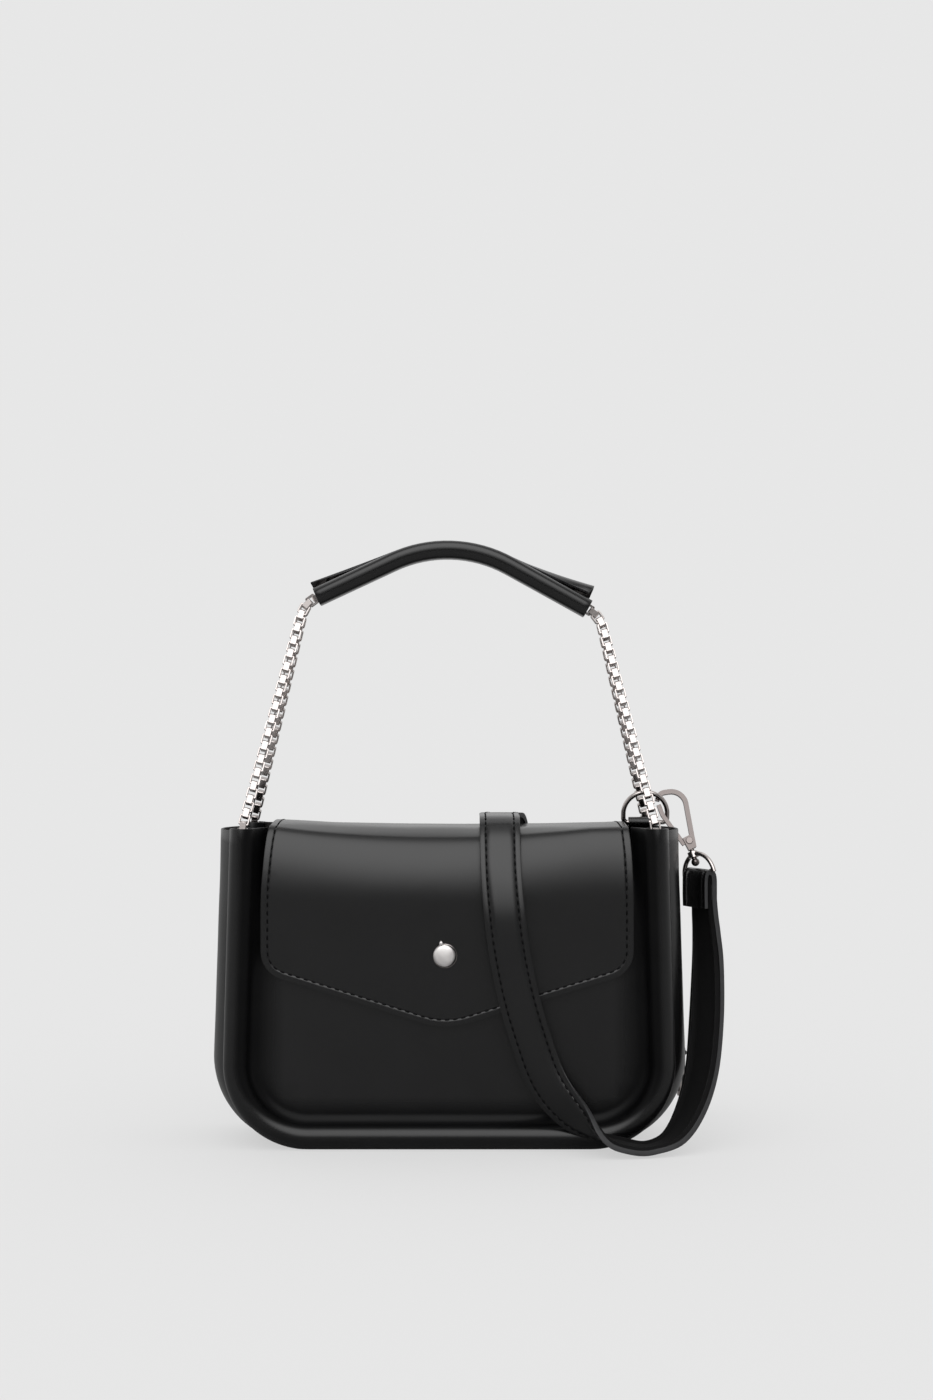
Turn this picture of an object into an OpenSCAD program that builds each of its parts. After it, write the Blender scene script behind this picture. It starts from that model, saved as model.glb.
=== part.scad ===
// Chain shoulder bag: two leather panels whose edges are rolled into a hollow
// U, a gusset between them, a pointed flap with a turn lock, a chain handle in
// a leather wrap, and a shoulder strap with swivel snap hooks.
// Millimetres. The origin is on the floor under the middle of the bag, +X is
// to the right and +Z is up. The front faces -Y.

/* [Body] */
// Width across the rolled edges at their cut tops
body_top_w = 215.3; // [190:0.1:250]
// Distance between the centre lines of the front and back rolls
roll_spacing = 58; // [50:0.5:80]
// Height of the cut tops of the rolled edges
rim_top = 157; // [130:0.5:190]
// Outside diameter of a rolled edge
roll_d = 12.5; // [11:0.1:14]
// Thickness of the panel leather
leather_t = 1.5; // [1:0.1:1.8]
// Outside radius of the two bottom corners
corner_r = 42; // [30:0.5:55]
// Lean of the sides, in degrees
side_lean = 1.65; // [0:0.05:3]
// Radius of the groove between the roll and the flat panel
groove_r = 6; // [4:0.1:7]
// Depth of the flat panel behind the centre line of its roll
panel_set_back = 2; // [1.5:0.1:2.5]
// Drop from the cut top of the rolls to the top edge of the flat panel
panel_drop = 7.5; // [7:0.1:20]
// Depth of the flat that each bottom roll rests on
rest_flat = 0.4; // [0.2:0.05:0.8]
// Outward swell of the gusset between its seams
gusset_swell = 10.5; // [2:0.1:14]
// Thickness of the gusset leather
gusset_t = 1.5; // [1:0.1:1.8]
// Drop from the cut top of the rolls to the top edge of the gusset
gusset_drop = 1.6; // [1:0.1:10]
// Drop from the cut top of the rolls to the top edge of the lining
lining_drop = 25; // [24:0.5:60]
// Thickness of the lining
lining_t = 0.8; // [0.5:0.1:1.5]
// Length of the stiff board in the bottom
board_w = 124; // [80:1:140]
// Depth of the stiff board in the bottom
board_d = 40; // [20:0.5:42]
// Thickness of the stiff board in the bottom
board_t = 1.6; // [1:0.1:3]

/* [Flap] */
// Distance from the outer side of the rolls in to the flap's edge, over the top
flap_top_in = 21.15; // [20.7:0.05:40]
// Distance from the outer side of the rolls in to the flap's edge, down the front
flap_in = 17.35; // [16.7:0.05:35]
// Height of the flap's point above the floor
flap_point_z = 58; // [40:0.5:75]
// Height of the flap's side corners above the floor, before rounding
flap_corner_z = 86.5; // [80:0.5:110]
// Radius of the flap's side corners
flap_corner_r = 14; // [5:0.5:20]
// Radius of the flap's point
flap_point_r = 40; // [10:1:80]
// Drop from the cut tops of the rolls to the underside of the flap's top
flap_drop = 2.7; // [1:0.1:5]
// Outside radius of the fold at the top of the front
flap_fold_r = 8; // [6:0.1:8.5]
// Thickness of the flap's outer leather
flap_t = 1.6; // [1:0.1:2]
// Thickness of the flap's lining
flap_lining_t = 0.6; // [0.4:0.1:1]
// Length of the flap's root sewn down the back panel
flap_root_h = 45; // [30:0.5:60]

/* [Turn lock] */
// Height of the lock above the floor
lock_z = 94.6; // [84:0.2:104]
// Place of the lock left of the middle
lock_left = 2; // [0:0.1:4]
// Outside diameter of the ring round the knob
lock_ring_d = 12.5; // [12:0.1:16]
// Thickness of that ring
lock_ring_t = 1.3; // [1:0.1:2]
// Diameter of the knob's domed cap
knob_d = 10.5; // [8:0.1:11.5]
// Thickness of the cap's rim
knob_rim_t = 1.1; // [0.6:0.1:2]
// Height of the cap's dome above its rim
dome_h = 1.5; // [0.8:0.1:2.5]
// Diameter of the thumb stud on the cap
stud_d = 2.4; // [1.6:0.1:3]
// Diameter of the spindle
spindle_d = 3; // [2.4:0.1:3.4]
// Length of the toggle bar behind the slot
toggle_len = 8; // [6:0.1:9]
// Thickness of the toggle bar
toggle_t = 1.3; // [1:0.1:1.5]
// Width of the slotted plate on the front panel
plate_w = 12; // [10:0.1:14]
// Height of the slotted plate on the front panel
plate_h = 20; // [18:0.1:24]

/* [Handle] */
// Diameter of the wrap round each chain
wrap_d = 9; // [8.6:0.1:11]
// Thickness of the wrap's leather
wrap_t = 1.5; // [1:0.1:1.6]
// Height of the corner where the two straight arms of the wrap would meet
grip_peak_z = 303.4; // [280:0.2:330]
// Place of that corner right of the middle
grip_peak_x = 1.2; // [-5:0.1:5]
// Slope of the left arm, in degrees
grip_left_slope = 25; // [15:0.5:35]
// Slope of the right arm, in degrees
grip_right_slope = 28.8; // [15:0.2:35]
// Length of the left arm from that corner
grip_left_len = 75; // [60:0.5:85]
// Length of the right arm from that corner
grip_right_len = 78; // [60:0.5:85]
// Radius of the bend at the top of the wrap
grip_bend_r = 65; // [40:1:90]

/* [Chain] */
// Outside size of one square link
link_size = 5.1; // [4.6:0.05:5.2]
// Thickness of the strip that a link is bent from
link_t = 0.72; // [0.6:0.01:0.8]
// Width of that strip
link_w = 2.95; // [2.4:0.05:3.1]
// Free play between two links that hang straight
link_play = 0.18; // [0.1:0.01:0.25]
// Depth of the chain's end inside the hollow roll
chain_sunk = 11; // [8:0.5:20]
// Diameter of the bar that holds the chain's end in the roll
anchor_d = 1.8; // [1.4:0.1:1.9]

/* [Rings and hooks] */
// Diameter of the wire of a D-ring
ring_wire_d = 2.4; // [2:0.1:2.8]
// Inside width of a D-ring
ring_inner_w = 20; // [18:0.5:22]
// Straight height of a D-ring's sides
ring_side_h = 4.9; // [4:0.1:8]
// Distance from the bag's right side in to the middle of the right ring
ring_right_in = 7.55; // [5.7:0.05:9.6]
// Distance from the bag's left side in to the middle of the left ring
ring_left_in = 13.15; // [11.7:0.05:17.6]
// Forward lean of the right ring, in degrees
ring_lean = 15; // [0:1:25]
// Width of the leather tab round a ring's bar
tab_w = 10.4; // [8:0.1:11]
// Thickness of one layer of a tab
tab_t = 1.5; // [1:0.1:1.8]
// Thickness of a hook's cast body
hook_t = 3.4; // [3:0.1:4]
// Width of a hook's bent arm
hook_arm_w = 2.4; // [2:0.1:3]
// Thickness of a hook's gate
gate_t = 1.5; // [1:0.1:1.8]
// Width of a hook's gate
gate_w = 2.2; // [1.8:0.1:2.6]
// Diameter of the rivet that a gate turns on
gate_rivet_d = 2.4; // [2:0.1:3]
// Diameter of a hook's swivel post
post_d = 2.6; // [2:0.1:3]
// Lean of the right hook to the back, in degrees
hook_lean = 16; // [8:1:24]

/* [Strap] */
// Width of the shoulder strap
strap_w = 20; // [16:0.5:22]
// Thickness of the shoulder strap
strap_t = 2.6; // [2:0.1:2.8]
// Diameter of the wire of a swivel loop
loop_wire_d = 2.3; // [2:0.1:2.6]
// Thickness of the buckle's frame
buckle_t = 2.4; // [2:0.1:2.6]
// Length of the buckle's frame along the strap
buckle_len = 18; // [16:0.5:24]
// Diameter of the buckle's prong
prong_d = 1.8; // [1.4:0.1:2.2]

/* [Hidden] */

// Clearances that several pieces share
soft_gap = 0.3;
shaft_gap = 0.05;
overrun = 1;
black = [0.07, 0.07, 0.08];
steel = [0.78, 0.78, 0.80];

roll_r = roll_d / 2;
roll_y = roll_spacing / 2;
half_w = body_top_w / 2;
flap_top_w = body_top_w - 2 * flap_top_in;
flap_w = body_top_w - 2 * flap_in;
half_d = roll_y + roll_r;
arc_r = corner_r - roll_r;
arc_z = corner_r - rest_flat;
top_x = half_w - roll_r;
arc_x = top_x - arc_r * cos(side_lean)
    + tan(side_lean) * (rim_top - arc_z - arc_r * sin(side_lean));
panel_top = rim_top - panel_drop;
panel_y = roll_y - panel_set_back;
panel_inner_y = panel_y - leather_t;
seam_y = roll_y - roll_r - soft_gap;

// One arc, its points from angle a to angle b round a centre
function arc_points(centre, r, a, b, n) =
    [for (i = [0:n]) centre + r * [cos(a + (b - a) * i / n), sin(a + (b - a) * i / n)]];
function unit(v) = v / norm(v);
function reverse(list) = [for (i = [len(list) - 1:-1:0]) list[i]];
// What is left of v when its part along d is taken out, made a unit vector
function square_to(v, d) = unit(v - (v * d) * d);

// A polyline whose inner corners are rounded: rows are [point, radius, steps]
function rounded(rows) =
    [for (i = [0:len(rows) - 1])
        let (p = rows[i][0], r = rows[i][1])
        if (i == 0 || i == len(rows) - 1 || r == 0) p
        else let (
            d1 = unit(p - rows[i - 1][0]), d2 = unit(rows[i + 1][0] - p),
            turn = acos(max(-1, min(1, d1 * d2))),
            start = p - r * tan(turn / 2) * d1,
            side = unit(d2 - cos(turn) * d1), n = rows[i][2])
            for (k = [0:n])
                start + r * sin(turn * k / n) * d1 + r * (1 - cos(turn * k / n)) * side];

// A flat outline moved sideways by d, to the left of its direction
function shifted(points, d) =
    [for (i = [0:len(points) - 1])
        let (
            before = points[max(i - 1, 0)], after = points[min(i + 1, len(points) - 1)],
            d1 = i == 0 ? unit(after - points[i]) : unit(points[i] - before),
            d2 = i == len(points) - 1 ? d1 : unit(after - points[i]),
            n1 = [-d1[1], d1[0]], n2 = [-d2[1], d2[0]])
            points[i] + d * (n1 + n2) / (1 + n1 * n2)];

// A band of even width drawn along a flat centre line
function band(points, w) = concat(shifted(points, w / 2), reverse(shifted(points, -w / 2)));

// A strip with a skin on each side, swept through sections: outer and inner are
// lists of sections, and each section is a list of as many points
module strip(outer, inner) {
    m = len(outer[0]);
    n = len(outer);
    half = n * m;
    function at(k, j, s) = k * m + j + s * half;
    function patch(a, b, c, d) = [[a, b, c], [a, c, d]];
    faces = concat(
        [for (k = [0:n - 2], j = [0:m - 2], q = patch(at(k, j, 0), at(k + 1, j, 0),
            at(k + 1, j + 1, 0), at(k, j + 1, 0))) q],
        [for (k = [0:n - 2], j = [0:m - 2], q = patch(at(k, j, 1), at(k, j + 1, 1),
            at(k + 1, j + 1, 1), at(k + 1, j, 1))) q],
        [for (k = [0:n - 2], q = patch(at(k, 0, 0), at(k, 0, 1),
            at(k + 1, 0, 1), at(k + 1, 0, 0))) q],
        [for (k = [0:n - 2], q = patch(at(k, m - 1, 0), at(k + 1, m - 1, 0),
            at(k + 1, m - 1, 1), at(k, m - 1, 1))) q],
        [for (j = [0:m - 2], q = patch(at(0, j, 0), at(0, j + 1, 0),
            at(0, j + 1, 1), at(0, j, 1))) q],
        [for (j = [0:m - 2], q = patch(at(n - 1, j, 0), at(n - 1, j, 1),
            at(n - 1, j + 1, 1), at(n - 1, j + 1, 0))) q]);
    polyhedron(concat([for (s = outer, p = s) p], [for (s = inner, p = s) p]), faces);
}

// Body: the U that both rolls follow, as rows of [x, z, outward x, outward z]
function side_x(z) = top_x + tan(side_lean) * (rim_top - z);
function right_side(heights) = concat(
    [for (z = heights) [side_x(z), z, 1, 0]],
    [for (p = [for (i = [0:9]) side_lean - (90 + side_lean) * i / 9])
        [arc_x + arc_r * cos(p), arc_z + arc_r * sin(p), cos(p), sin(p)]]);
function whole_u(heights) = concat(right_side(heights),
    [for (s = reverse(right_side(heights))) [-s[0], s[1], -s[2], s[3]]]);

// Section of the leather: out of the flat panel, through the groove, round the roll
groove_v = groove_r - panel_set_back;
groove_u = -sqrt(pow(roll_r + groove_r, 2) - pow(groove_v, 2));
groove_end = asin(groove_v / (roll_r + groove_r));
half_turn = 180;
roll_end = -163;
function roll_section(t) = concat(
    arc_points([groove_u, groove_v], groove_r + t, -90, -groove_end, 4),
    [for (i = [1:14]) let (a = half_turn - groove_end + (roll_end - half_turn + groove_end) * i / 14)
        (roll_r - t) * [cos(a), sin(a)]]);

module rolled_panel() {
    rows = whole_u([rim_top, panel_top, (panel_top + arc_z) / 2]);
    outer = [for (s = rows) [for (p = roll_section(0))
        [s[0] + p[0] * s[2], -roll_y - p[1], max(0, s[1] + p[0] * s[3])]]];
    inner = [for (s = rows) [for (p = roll_section(leather_t))
        [s[0] + p[0] * s[2], -roll_y - p[1], s[1] + p[0] * s[3]]]];
    m = len(outer[0]);
    n = len(rows);
    half = n * m;
    function at(k, j, s) = k * m + j + s * half;
    function patch(a, b, c, d) = [[a, b, c], [a, c, d]];
    faces = concat(
        [for (k = [0:n - 2], j = [0:m - 2], q = patch(at(k, j, 0), at(k, j + 1, 0),
            at(k + 1, j + 1, 0), at(k + 1, j, 0))) q],
        [for (k = [0:n - 2], j = [0:m - 2], q = patch(at(k, j, 1), at(k + 1, j, 1),
            at(k + 1, j + 1, 1), at(k, j + 1, 1))) q],
        [for (k = [0:n - 2], q = patch(at(k, m - 1, 0), at(k, m - 1, 1),
            at(k + 1, m - 1, 1), at(k + 1, m - 1, 0))) q],
        [for (j = [0:m - 2], q = patch(at(0, j, 0), at(0, j, 1),
            at(0, j + 1, 1), at(0, j + 1, 0))) q],
        [for (j = [0:m - 2], q = patch(at(n - 1, j, 0), at(n - 1, j + 1, 0),
            at(n - 1, j + 1, 1), at(n - 1, j, 1))) q],
        [for (k = [0, n - 2], q = patch(at(k, 0, 0), at(k + 1, 0, 0),
            at(k + 1, 0, 1), at(k, 0, 1))) q],
        patch(at(1, 0, 0), at(n - 2, 0, 0), at(n - 2, 0, 1), at(1, 0, 1)),
        [[for (k = [1:n - 2]) at(k, 0, 0)], [for (k = [n - 2:-1:1]) at(k, 0, 1)]]);
    polyhedron(concat([for (s = outer, p = s) p], [for (s = inner, p = s) p]), faces);
}

module front_panel() {
    color(black) difference() {
        rolled_panel();
        lock_at(panel_y + overrun) linear_extrude(leather_t + 2 * overrun) plate_outline(0);
    }
}
module back_panel() {
    color(black) mirror([0, 1, 0]) rolled_panel();
}

// Gusset: sewn between the backs of the rolls, swelling out at the sides
gusset_u = 3;
gusset_steps = 8;
bottom_u = arc_z - arc_r - gusset_u;
module gusset() {
    rows = whole_u([rim_top - gusset_drop, (rim_top + arc_z) / 2]);
    function swell(s, y) = gusset_swell * abs(s[2]) * (1 - pow(abs(y / seam_y), 2.5))
        + bottom_u * pow(max(0, -s[3]), 2);
    function skin(t) = [for (s = rows) [for (i = [0:gusset_steps])
        let (y = seam_y * (2 * i / gusset_steps - 1), u = gusset_u - t + swell(s, y))
            [s[0] + u * s[2], y, s[1] + u * s[3]]]];
    color(black) strip(skin(0), skin(gusset_t));
}

// Lining: an open box that hangs inside the gusset, with a stiff board in it
lining_u = 1;
function lining_outline(u) = [for (s = whole_u([rim_top - lining_drop])) [s[0] + u * s[2], s[1] + u * s[3]]];
module along_y(depth) {
    rotate([90, 0, 0]) linear_extrude(depth, center = true) children();
}
module lining() {
    color([0.16, 0.13, 0.14]) difference() {
        along_y(2 * seam_y) polygon(lining_outline(lining_u));
        along_y(2 * (seam_y - lining_t)) polygon(concat(
            [[side_x(0), rim_top]], lining_outline(lining_u - lining_t), [[-side_x(0), rim_top]]));
    }
}
module base_board() {
    floor_z = arc_z - arc_r - lining_u + lining_t;
    color([0.35, 0.3, 0.25]) translate([0, 0, floor_z + board_t / 2])
        cube([board_w, board_d, board_t], center = true);
}

// Flap: one bent sheet, cut to its pointed outline
flap_under = rim_top - flap_drop;
flap_over = flap_under + flap_lining_t + flap_t;
flap_face = panel_y + soft_gap + flap_lining_t + flap_t;
flap_back = panel_y + flap_lining_t + flap_t;
function flap_layer(from, to) =
    let (
        fold = function (t) concat(
            [[flap_back, flap_over - t]],
            arc_points([-flap_face + flap_fold_r, flap_over - flap_fold_r], flap_fold_r - t, 90, 180, 8),
            [[-flap_face + t, 0]]))
    concat(fold(from), reverse(fold(to)));
// The flap's corners are rounded, and its sides spread below the fold
spread_z = rim_top - 17;
flap_outline = concat(
    [[flap_top_w / 2, flap_over + overrun], [flap_top_w / 2, rim_top]],
    rounded([
        [[flap_w / 2, spread_z], 0, 0],
        [[flap_w / 2, flap_corner_z], flap_corner_r, 6],
        [[-lock_left, flap_point_z], flap_point_r, 6],
        [[-flap_w / 2, flap_corner_z], flap_corner_r, 6],
        [[-flap_w / 2, spread_z], 0, 0]]),
    [[-flap_top_w / 2, rim_top], [-flap_top_w / 2, flap_over + overrun]]);
module flap_sheet(from, to) {
    difference() {
        intersection() {
            rotate([90, 0, 90]) linear_extrude(flap_w, center = true)
                polygon(flap_layer(from, to));
            along_y(4 * half_d) polygon(flap_outline);
        }
        lock_at(flap_face + overrun) cylinder(h = flap_face, d = spindle_d + 2 * shaft_gap, $fn = 32);
    }
}
module flap() {
    color(black) flap_sheet(0, flap_t);
}
module flap_lining() {
    color([0.12, 0.11, 0.12]) flap_sheet(flap_t, flap_t + flap_lining_t);
}
root_corner_r = 12;
module flap_root() {
    color(black) translate([0, flap_back, 0]) rotate([90, 0, 0])
        linear_extrude(flap_back - panel_y) polygon(rounded([
            [[flap_top_w / 2, flap_under - soft_gap], 0, 0],
            [[flap_top_w / 2, rim_top - flap_root_h], root_corner_r, 6],
            [[-flap_top_w / 2, rim_top - flap_root_h], root_corner_r, 6],
            [[-flap_top_w / 2, flap_under - soft_gap], 0, 0]]));
}

// Turn lock. Its pieces are turned about an axis that points to the back
module lock_at(front_y) {
    translate([-lock_left, -front_y, lock_z]) rotate([-90, 0, 0]) children();
}
// Seen along that axis a piece's own y points down, so up is minus
plate_flange = 1.2;
plate_up = 2.5;
slot_gap = 0.35;
slot_rise = 3.6;
module plate_outline(extra) {
    translate([-plate_w / 2 - extra, -plate_h / 2 - plate_up - extra])
        square([plate_w + 2 * extra, plate_h + 2 * extra]);
}
module lock_plate() {
    front = panel_y + soft_gap / 2;
    flange_t = 0.5;
    color(steel) difference() {
        union() {
            lock_at(front) linear_extrude(front - panel_inner_y + flange_t) plate_outline(0);
            lock_at(panel_inner_y) linear_extrude(flange_t) plate_outline(plate_flange);
        }
        lock_at(front + overrun)
            translate([-spindle_d / 2 - slot_gap, -toggle_len / 2 - slot_rise])
                cube([spindle_d + 2 * slot_gap, toggle_len + slot_rise + slot_gap,
                    leather_t + 4 * overrun]);
    }
}
module lock_ring() {
    groove = knob_d / 2 + slot_gap;
    color(steel) lock_at(flap_face + lock_ring_t) rotate_extrude($fn = 64) polygon([
        [spindle_d / 2 + shaft_gap, lock_ring_t], [spindle_d / 2 + shaft_gap, lock_ring_t / 2],
        [groove, lock_ring_t / 2], [groove, 0],
        [lock_ring_d / 2 - lock_ring_t / 3, 0], [lock_ring_d / 2, lock_ring_t / 2],
        [lock_ring_d / 2, lock_ring_t]]);
}
cap_back = flap_face + lock_ring_t / 2 + shaft_gap;
cap_front = cap_back + knob_rim_t;
module knob_cap() {
    dome_r = (pow(knob_d / 2, 2) + dome_h * dome_h) / (2 * dome_h);
    dome_turn = asin(knob_d / 2 / dome_r);
    stud_at = knob_d / 2 - stud_d / 3;
    color(steel) difference() {
        union() {
            lock_at(cap_front) rotate_extrude($fn = 64) polygon(concat(
                [[0, knob_rim_t]], [[knob_d / 2, knob_rim_t]],
                [for (i = [6:-1:0]) let (a = dome_turn * i / 6)
                    [dome_r * sin(a), dome_r - dome_h - dome_r * cos(a)]]));
            lock_at(cap_front + dome_h) rotate([0, 0, -75]) translate([stud_at, 0, 0])
                cylinder(h = dome_h + knob_rim_t / 2, d = stud_d, $fn = 32);
        }
        lock_at(cap_back + knob_rim_t / 2) cylinder(h = knob_rim_t, d = spindle_d / 2, $fn = 32);
    }
}
toggle_front = panel_inner_y - slot_gap - plate_flange / 2;
module knob_spindle() {
    color(steel) {
        lock_at(cap_back) cylinder(h = cap_back - toggle_front, d = spindle_d, $fn = 48);
        lock_at(cap_back + knob_rim_t / 2 - shaft_gap)
            cylinder(h = knob_rim_t / 2 + shaft_gap, d = spindle_d / 2 - shaft_gap, $fn = 32);
    }
}
module toggle_bar() {
    color(steel) lock_at(toggle_front) translate([-spindle_d / 2, -toggle_len / 2, 0])
        cube([spindle_d, toggle_len, toggle_t]);
}

// Handle: the wrap's two straight arms and the bend between them
grip_left_dir = [-cos(grip_left_slope), -sin(grip_left_slope)];
grip_right_dir = [cos(grip_right_slope), -sin(grip_right_slope)];
grip_peak = [grip_peak_x, grip_peak_z];
grip_left = grip_peak + grip_left_len * grip_left_dir;
grip_right = grip_peak + grip_right_len * grip_right_dir;
grip_tangent = grip_bend_r * tan((grip_left_slope + grip_right_slope) / 2);
wrap_r = wrap_d / 2;
chain_y = link_size / 2 + soft_gap / 2;

// Shares of the wrap's radius: the section closed in the middle of the grip,
// and parted along its top at both ends
closed_shares = [[-0.03, 1], [-0.75, 1], [-1.35, 0.9], [-1.72, 0.4], [-1.72, -0.4], [-1.35, -0.9],
    [-0.75, -1], [0.75, -1], [1.35, -0.9], [1.72, -0.4], [1.72, 0.4], [1.35, 0.9], [0.75, 1], [0.03, 1]];
open_shares = [[-0.9, 1.02], [-1.15, 0.98], [-1.5, 0.74], [-1.75, 0.35], [-1.75, -0.35], [-1.4, -0.88],
    [-0.75, -1], [0.75, -1], [1.4, -0.88], [1.78, -0.35], [1.85, 0.35], [1.8, 1.0], [1.7, 1.5], [1.6, 1.95]];
function grip_points() =
    let (
        a = grip_peak + grip_tangent * grip_left_dir,
        b = grip_peak + grip_tangent * grip_right_dir,
        bend = rounded([[grip_left, 0, 0], [grip_peak, grip_bend_r, 10], [grip_right, 0, 0]]))
    concat([for (i = [0:4]) grip_left + (a - grip_left) * i / 5],
        [for (i = [1:len(bend) - 2]) bend[i]],
        [for (i = [1:5]) b + (grip_right - b) * i / 5]);
module handle_wrap() {
    line = grip_points();
    n = len(line);
    ups = [for (i = [0:n - 1])
        let (d = unit(line[min(i + 1, n - 1)] - line[max(i - 1, 0)])) [-d[1], d[0]]];
    function parted(i) = pow(max(0, abs(2 * i / (n - 1) - 1) - 0.25) / 0.75, 1.4);
    function section(i) = [for (j = [0:len(closed_shares) - 1])
        wrap_r * (closed_shares[j] + parted(i) * (open_shares[j] - closed_shares[j]))];
    function placed(i, pts) = [for (p = pts)
        [line[i][0] + p[1] * ups[i][0], p[0], line[i][1] + p[1] * ups[i][1]]];
    color(black) strip([for (i = [0:n - 1]) placed(i, section(i))],
        [for (i = [0:n - 1]) placed(i, shifted(section(i), wrap_t))]);
}

// Chain: square links, each turned a quarter from the last, on the chords of a
// rounded path that runs out of one roll, through the wrap and into the other
link_pitch = link_size - 2 * link_t - link_play;
mouth_bend_r = 16;
grip_exit_r = 14;
exit_turn = 50;
grip_exit = grip_exit_r * tan(exit_turn / 2) + link_t / 2;
function chain_corners(front) =
    let (
        y = front * roll_y, g = front * chain_y,
        l = grip_left + grip_exit * grip_left_dir, r = grip_right + grip_exit * grip_right_dir)
    [[[-top_x, y, rim_top - chain_sunk], 0], [[-top_x, y, rim_top + link_t], mouth_bend_r],
        [[l[0], g, l[1]], grip_exit_r], [[grip_peak_x, g, grip_peak_z], grip_bend_r],
        [[r[0], g, r[1]], grip_exit_r], [[top_x, y, rim_top + link_t], mouth_bend_r],
        [[top_x, y, rim_top - chain_sunk], 0]];
// Rows of [point, how much the stretch that ends there counts]. Links sit a little
// closer on a bend, as they do in a real chain, so that their corners stay clear
bend_steps = 12;
closer_share = 0.4;
function bend_of(c, i) =
    let (
        d1 = unit(c[i][0] - c[i - 1][0]), d2 = unit(c[i + 1][0] - c[i][0]),
        turn = acos(max(-1, min(1, d1 * d2))), r = c[i][1],
        start = c[i][0] - r * tan(turn / 2) * d1,
        side = unit(d2 - cos(turn) * d1))
    [for (k = [0:bend_steps]) let (a = turn * k / bend_steps)
        [start + r * sin(a) * d1 + r * (1 - cos(a)) * side,
            k == 0 ? 1 : 1 / (1 - closer_share * link_w / r)]];
function chain_path(front) =
    let (
        c = chain_corners(front),
        rows = [for (i = [0:6]) each (i == 0 || i == 6 ? [[c[i][0], 1]] : bend_of(c, i))],
        reach = [for (i = 0, sum = 0; i < len(rows);
            sum = sum + (i + 1 < len(rows) ? norm(rows[i + 1][0] - rows[i][0]) * rows[i + 1][1] : 0),
            i = i + 1) sum],
        whole = reach[len(reach) - 1], n = ceil(whole / link_pitch))
    [for (k = [0:n]) [for (axis = [0:2])
        lookup(whole * k / n, [for (i = [0:len(rows) - 1]) [reach[i], rows[i][0][axis]]])]];
// The first chord whose middle lies inside the wrap, and the first past it
function wrap_starts(path) = [for (i = [0:len(path) - 2])
    if ((path[i][0] + path[i + 1][0]) / 2 > grip_left[0]) i][0];
function wrap_ends(path) = [for (i = [0:len(path) - 2])
    if ((path[i][0] + path[i + 1][0]) / 2 > grip_right[0]) i][0];
module link() {
    c = link_t * 0.6;
    s = link_size / 2;
    linear_extrude(link_w, center = true) difference() {
        polygon([[s, s - c], [s - c, s], [c - s, s], [-s, s - c],
            [-s, c - s], [c - s, -s], [s - c, -s], [s, c - s]]);
        square(link_size - 2 * link_t, center = true);
    }
}
module links(path, from, to) {
    for (i = [from:to - 1]) {
        d = unit(path[i + 1] - path[i]);
        v = square_to([0, 1, 0], d);
        u = cross(v, d);
        a = i % 2 == 0 ? u : v;
        b = i % 2 == 0 ? v : -u;
        m = (path[i] + path[i + 1]) / 2;
        multmatrix([[a[0], d[0], -b[0], m[0]], [a[1], d[1], -b[1], m[1]],
            [a[2], d[2], -b[2], m[2]], [0, 0, 0, 1]]) link();
    }
}
module chain_run(front, left) {
    path = chain_path(front);
    color(steel) links(path, left ? 0 : wrap_ends(path), left ? wrap_starts(path) : len(path) - 1);
}
module grip_chain(front) {
    path = chain_path(front);
    color(steel) links(path, wrap_starts(path), wrap_ends(path));
}
module chain_front_left() { chain_run(-1, true); }
module chain_front_right() { chain_run(-1, false); }
module chain_back_left() { chain_run(1, true); }
module chain_back_right() { chain_run(1, false); }
module grip_chain_front() { grip_chain(-1); }
module grip_chain_back() { grip_chain(1); }

// A short bar lies across each roll's bore, through the hole of its end link.
// It sits off the link's middle, because the next link takes up part of the hole
module chain_anchors() {
    path = chain_path(1);
    last = len(path) - 2;
    bar = 2 * sqrt(pow(roll_r - leather_t, 2) - pow(anchor_d / 2, 2)) - soft_gap;
    low = link_pitch / 8;
    color(steel) for (y = [-1, 1]) {
        anchor(path[0], path[1], -1, y, low, bar, 0);
        anchor(path[last + 1], path[last], 1, y, low, bar, last % 2 * 90);
    }
}
module anchor(end, next, x, y, low, bar, turned) {
    translate([x * top_x, y * roll_y, (end[2] + next[2]) / 2 - low])
        rotate([90, 0, turned]) cylinder(h = bar, d = anchor_d, center = true, $fn = 24);
}

// D-rings and the tabs that hold their bars
ring_r = ring_wire_d / 2;
ring_bow_r = ring_inner_w / 2 + ring_r;
eye_r = ring_r + shaft_gap + tab_t;
tab_face = seam_y - soft_gap / 2;
eye_y = tab_face - 2 * tab_t + shaft_gap * 2;
ring_right_x = half_w - ring_right_in;
ring_left_x = half_w - ring_left_in;
ring_right_z = rim_top + soft_gap;
left_eye_y = tab_face - 2 * tab_t - eye_r + soft_gap;
left_eye_z = rim_top - panel_drop;
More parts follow.
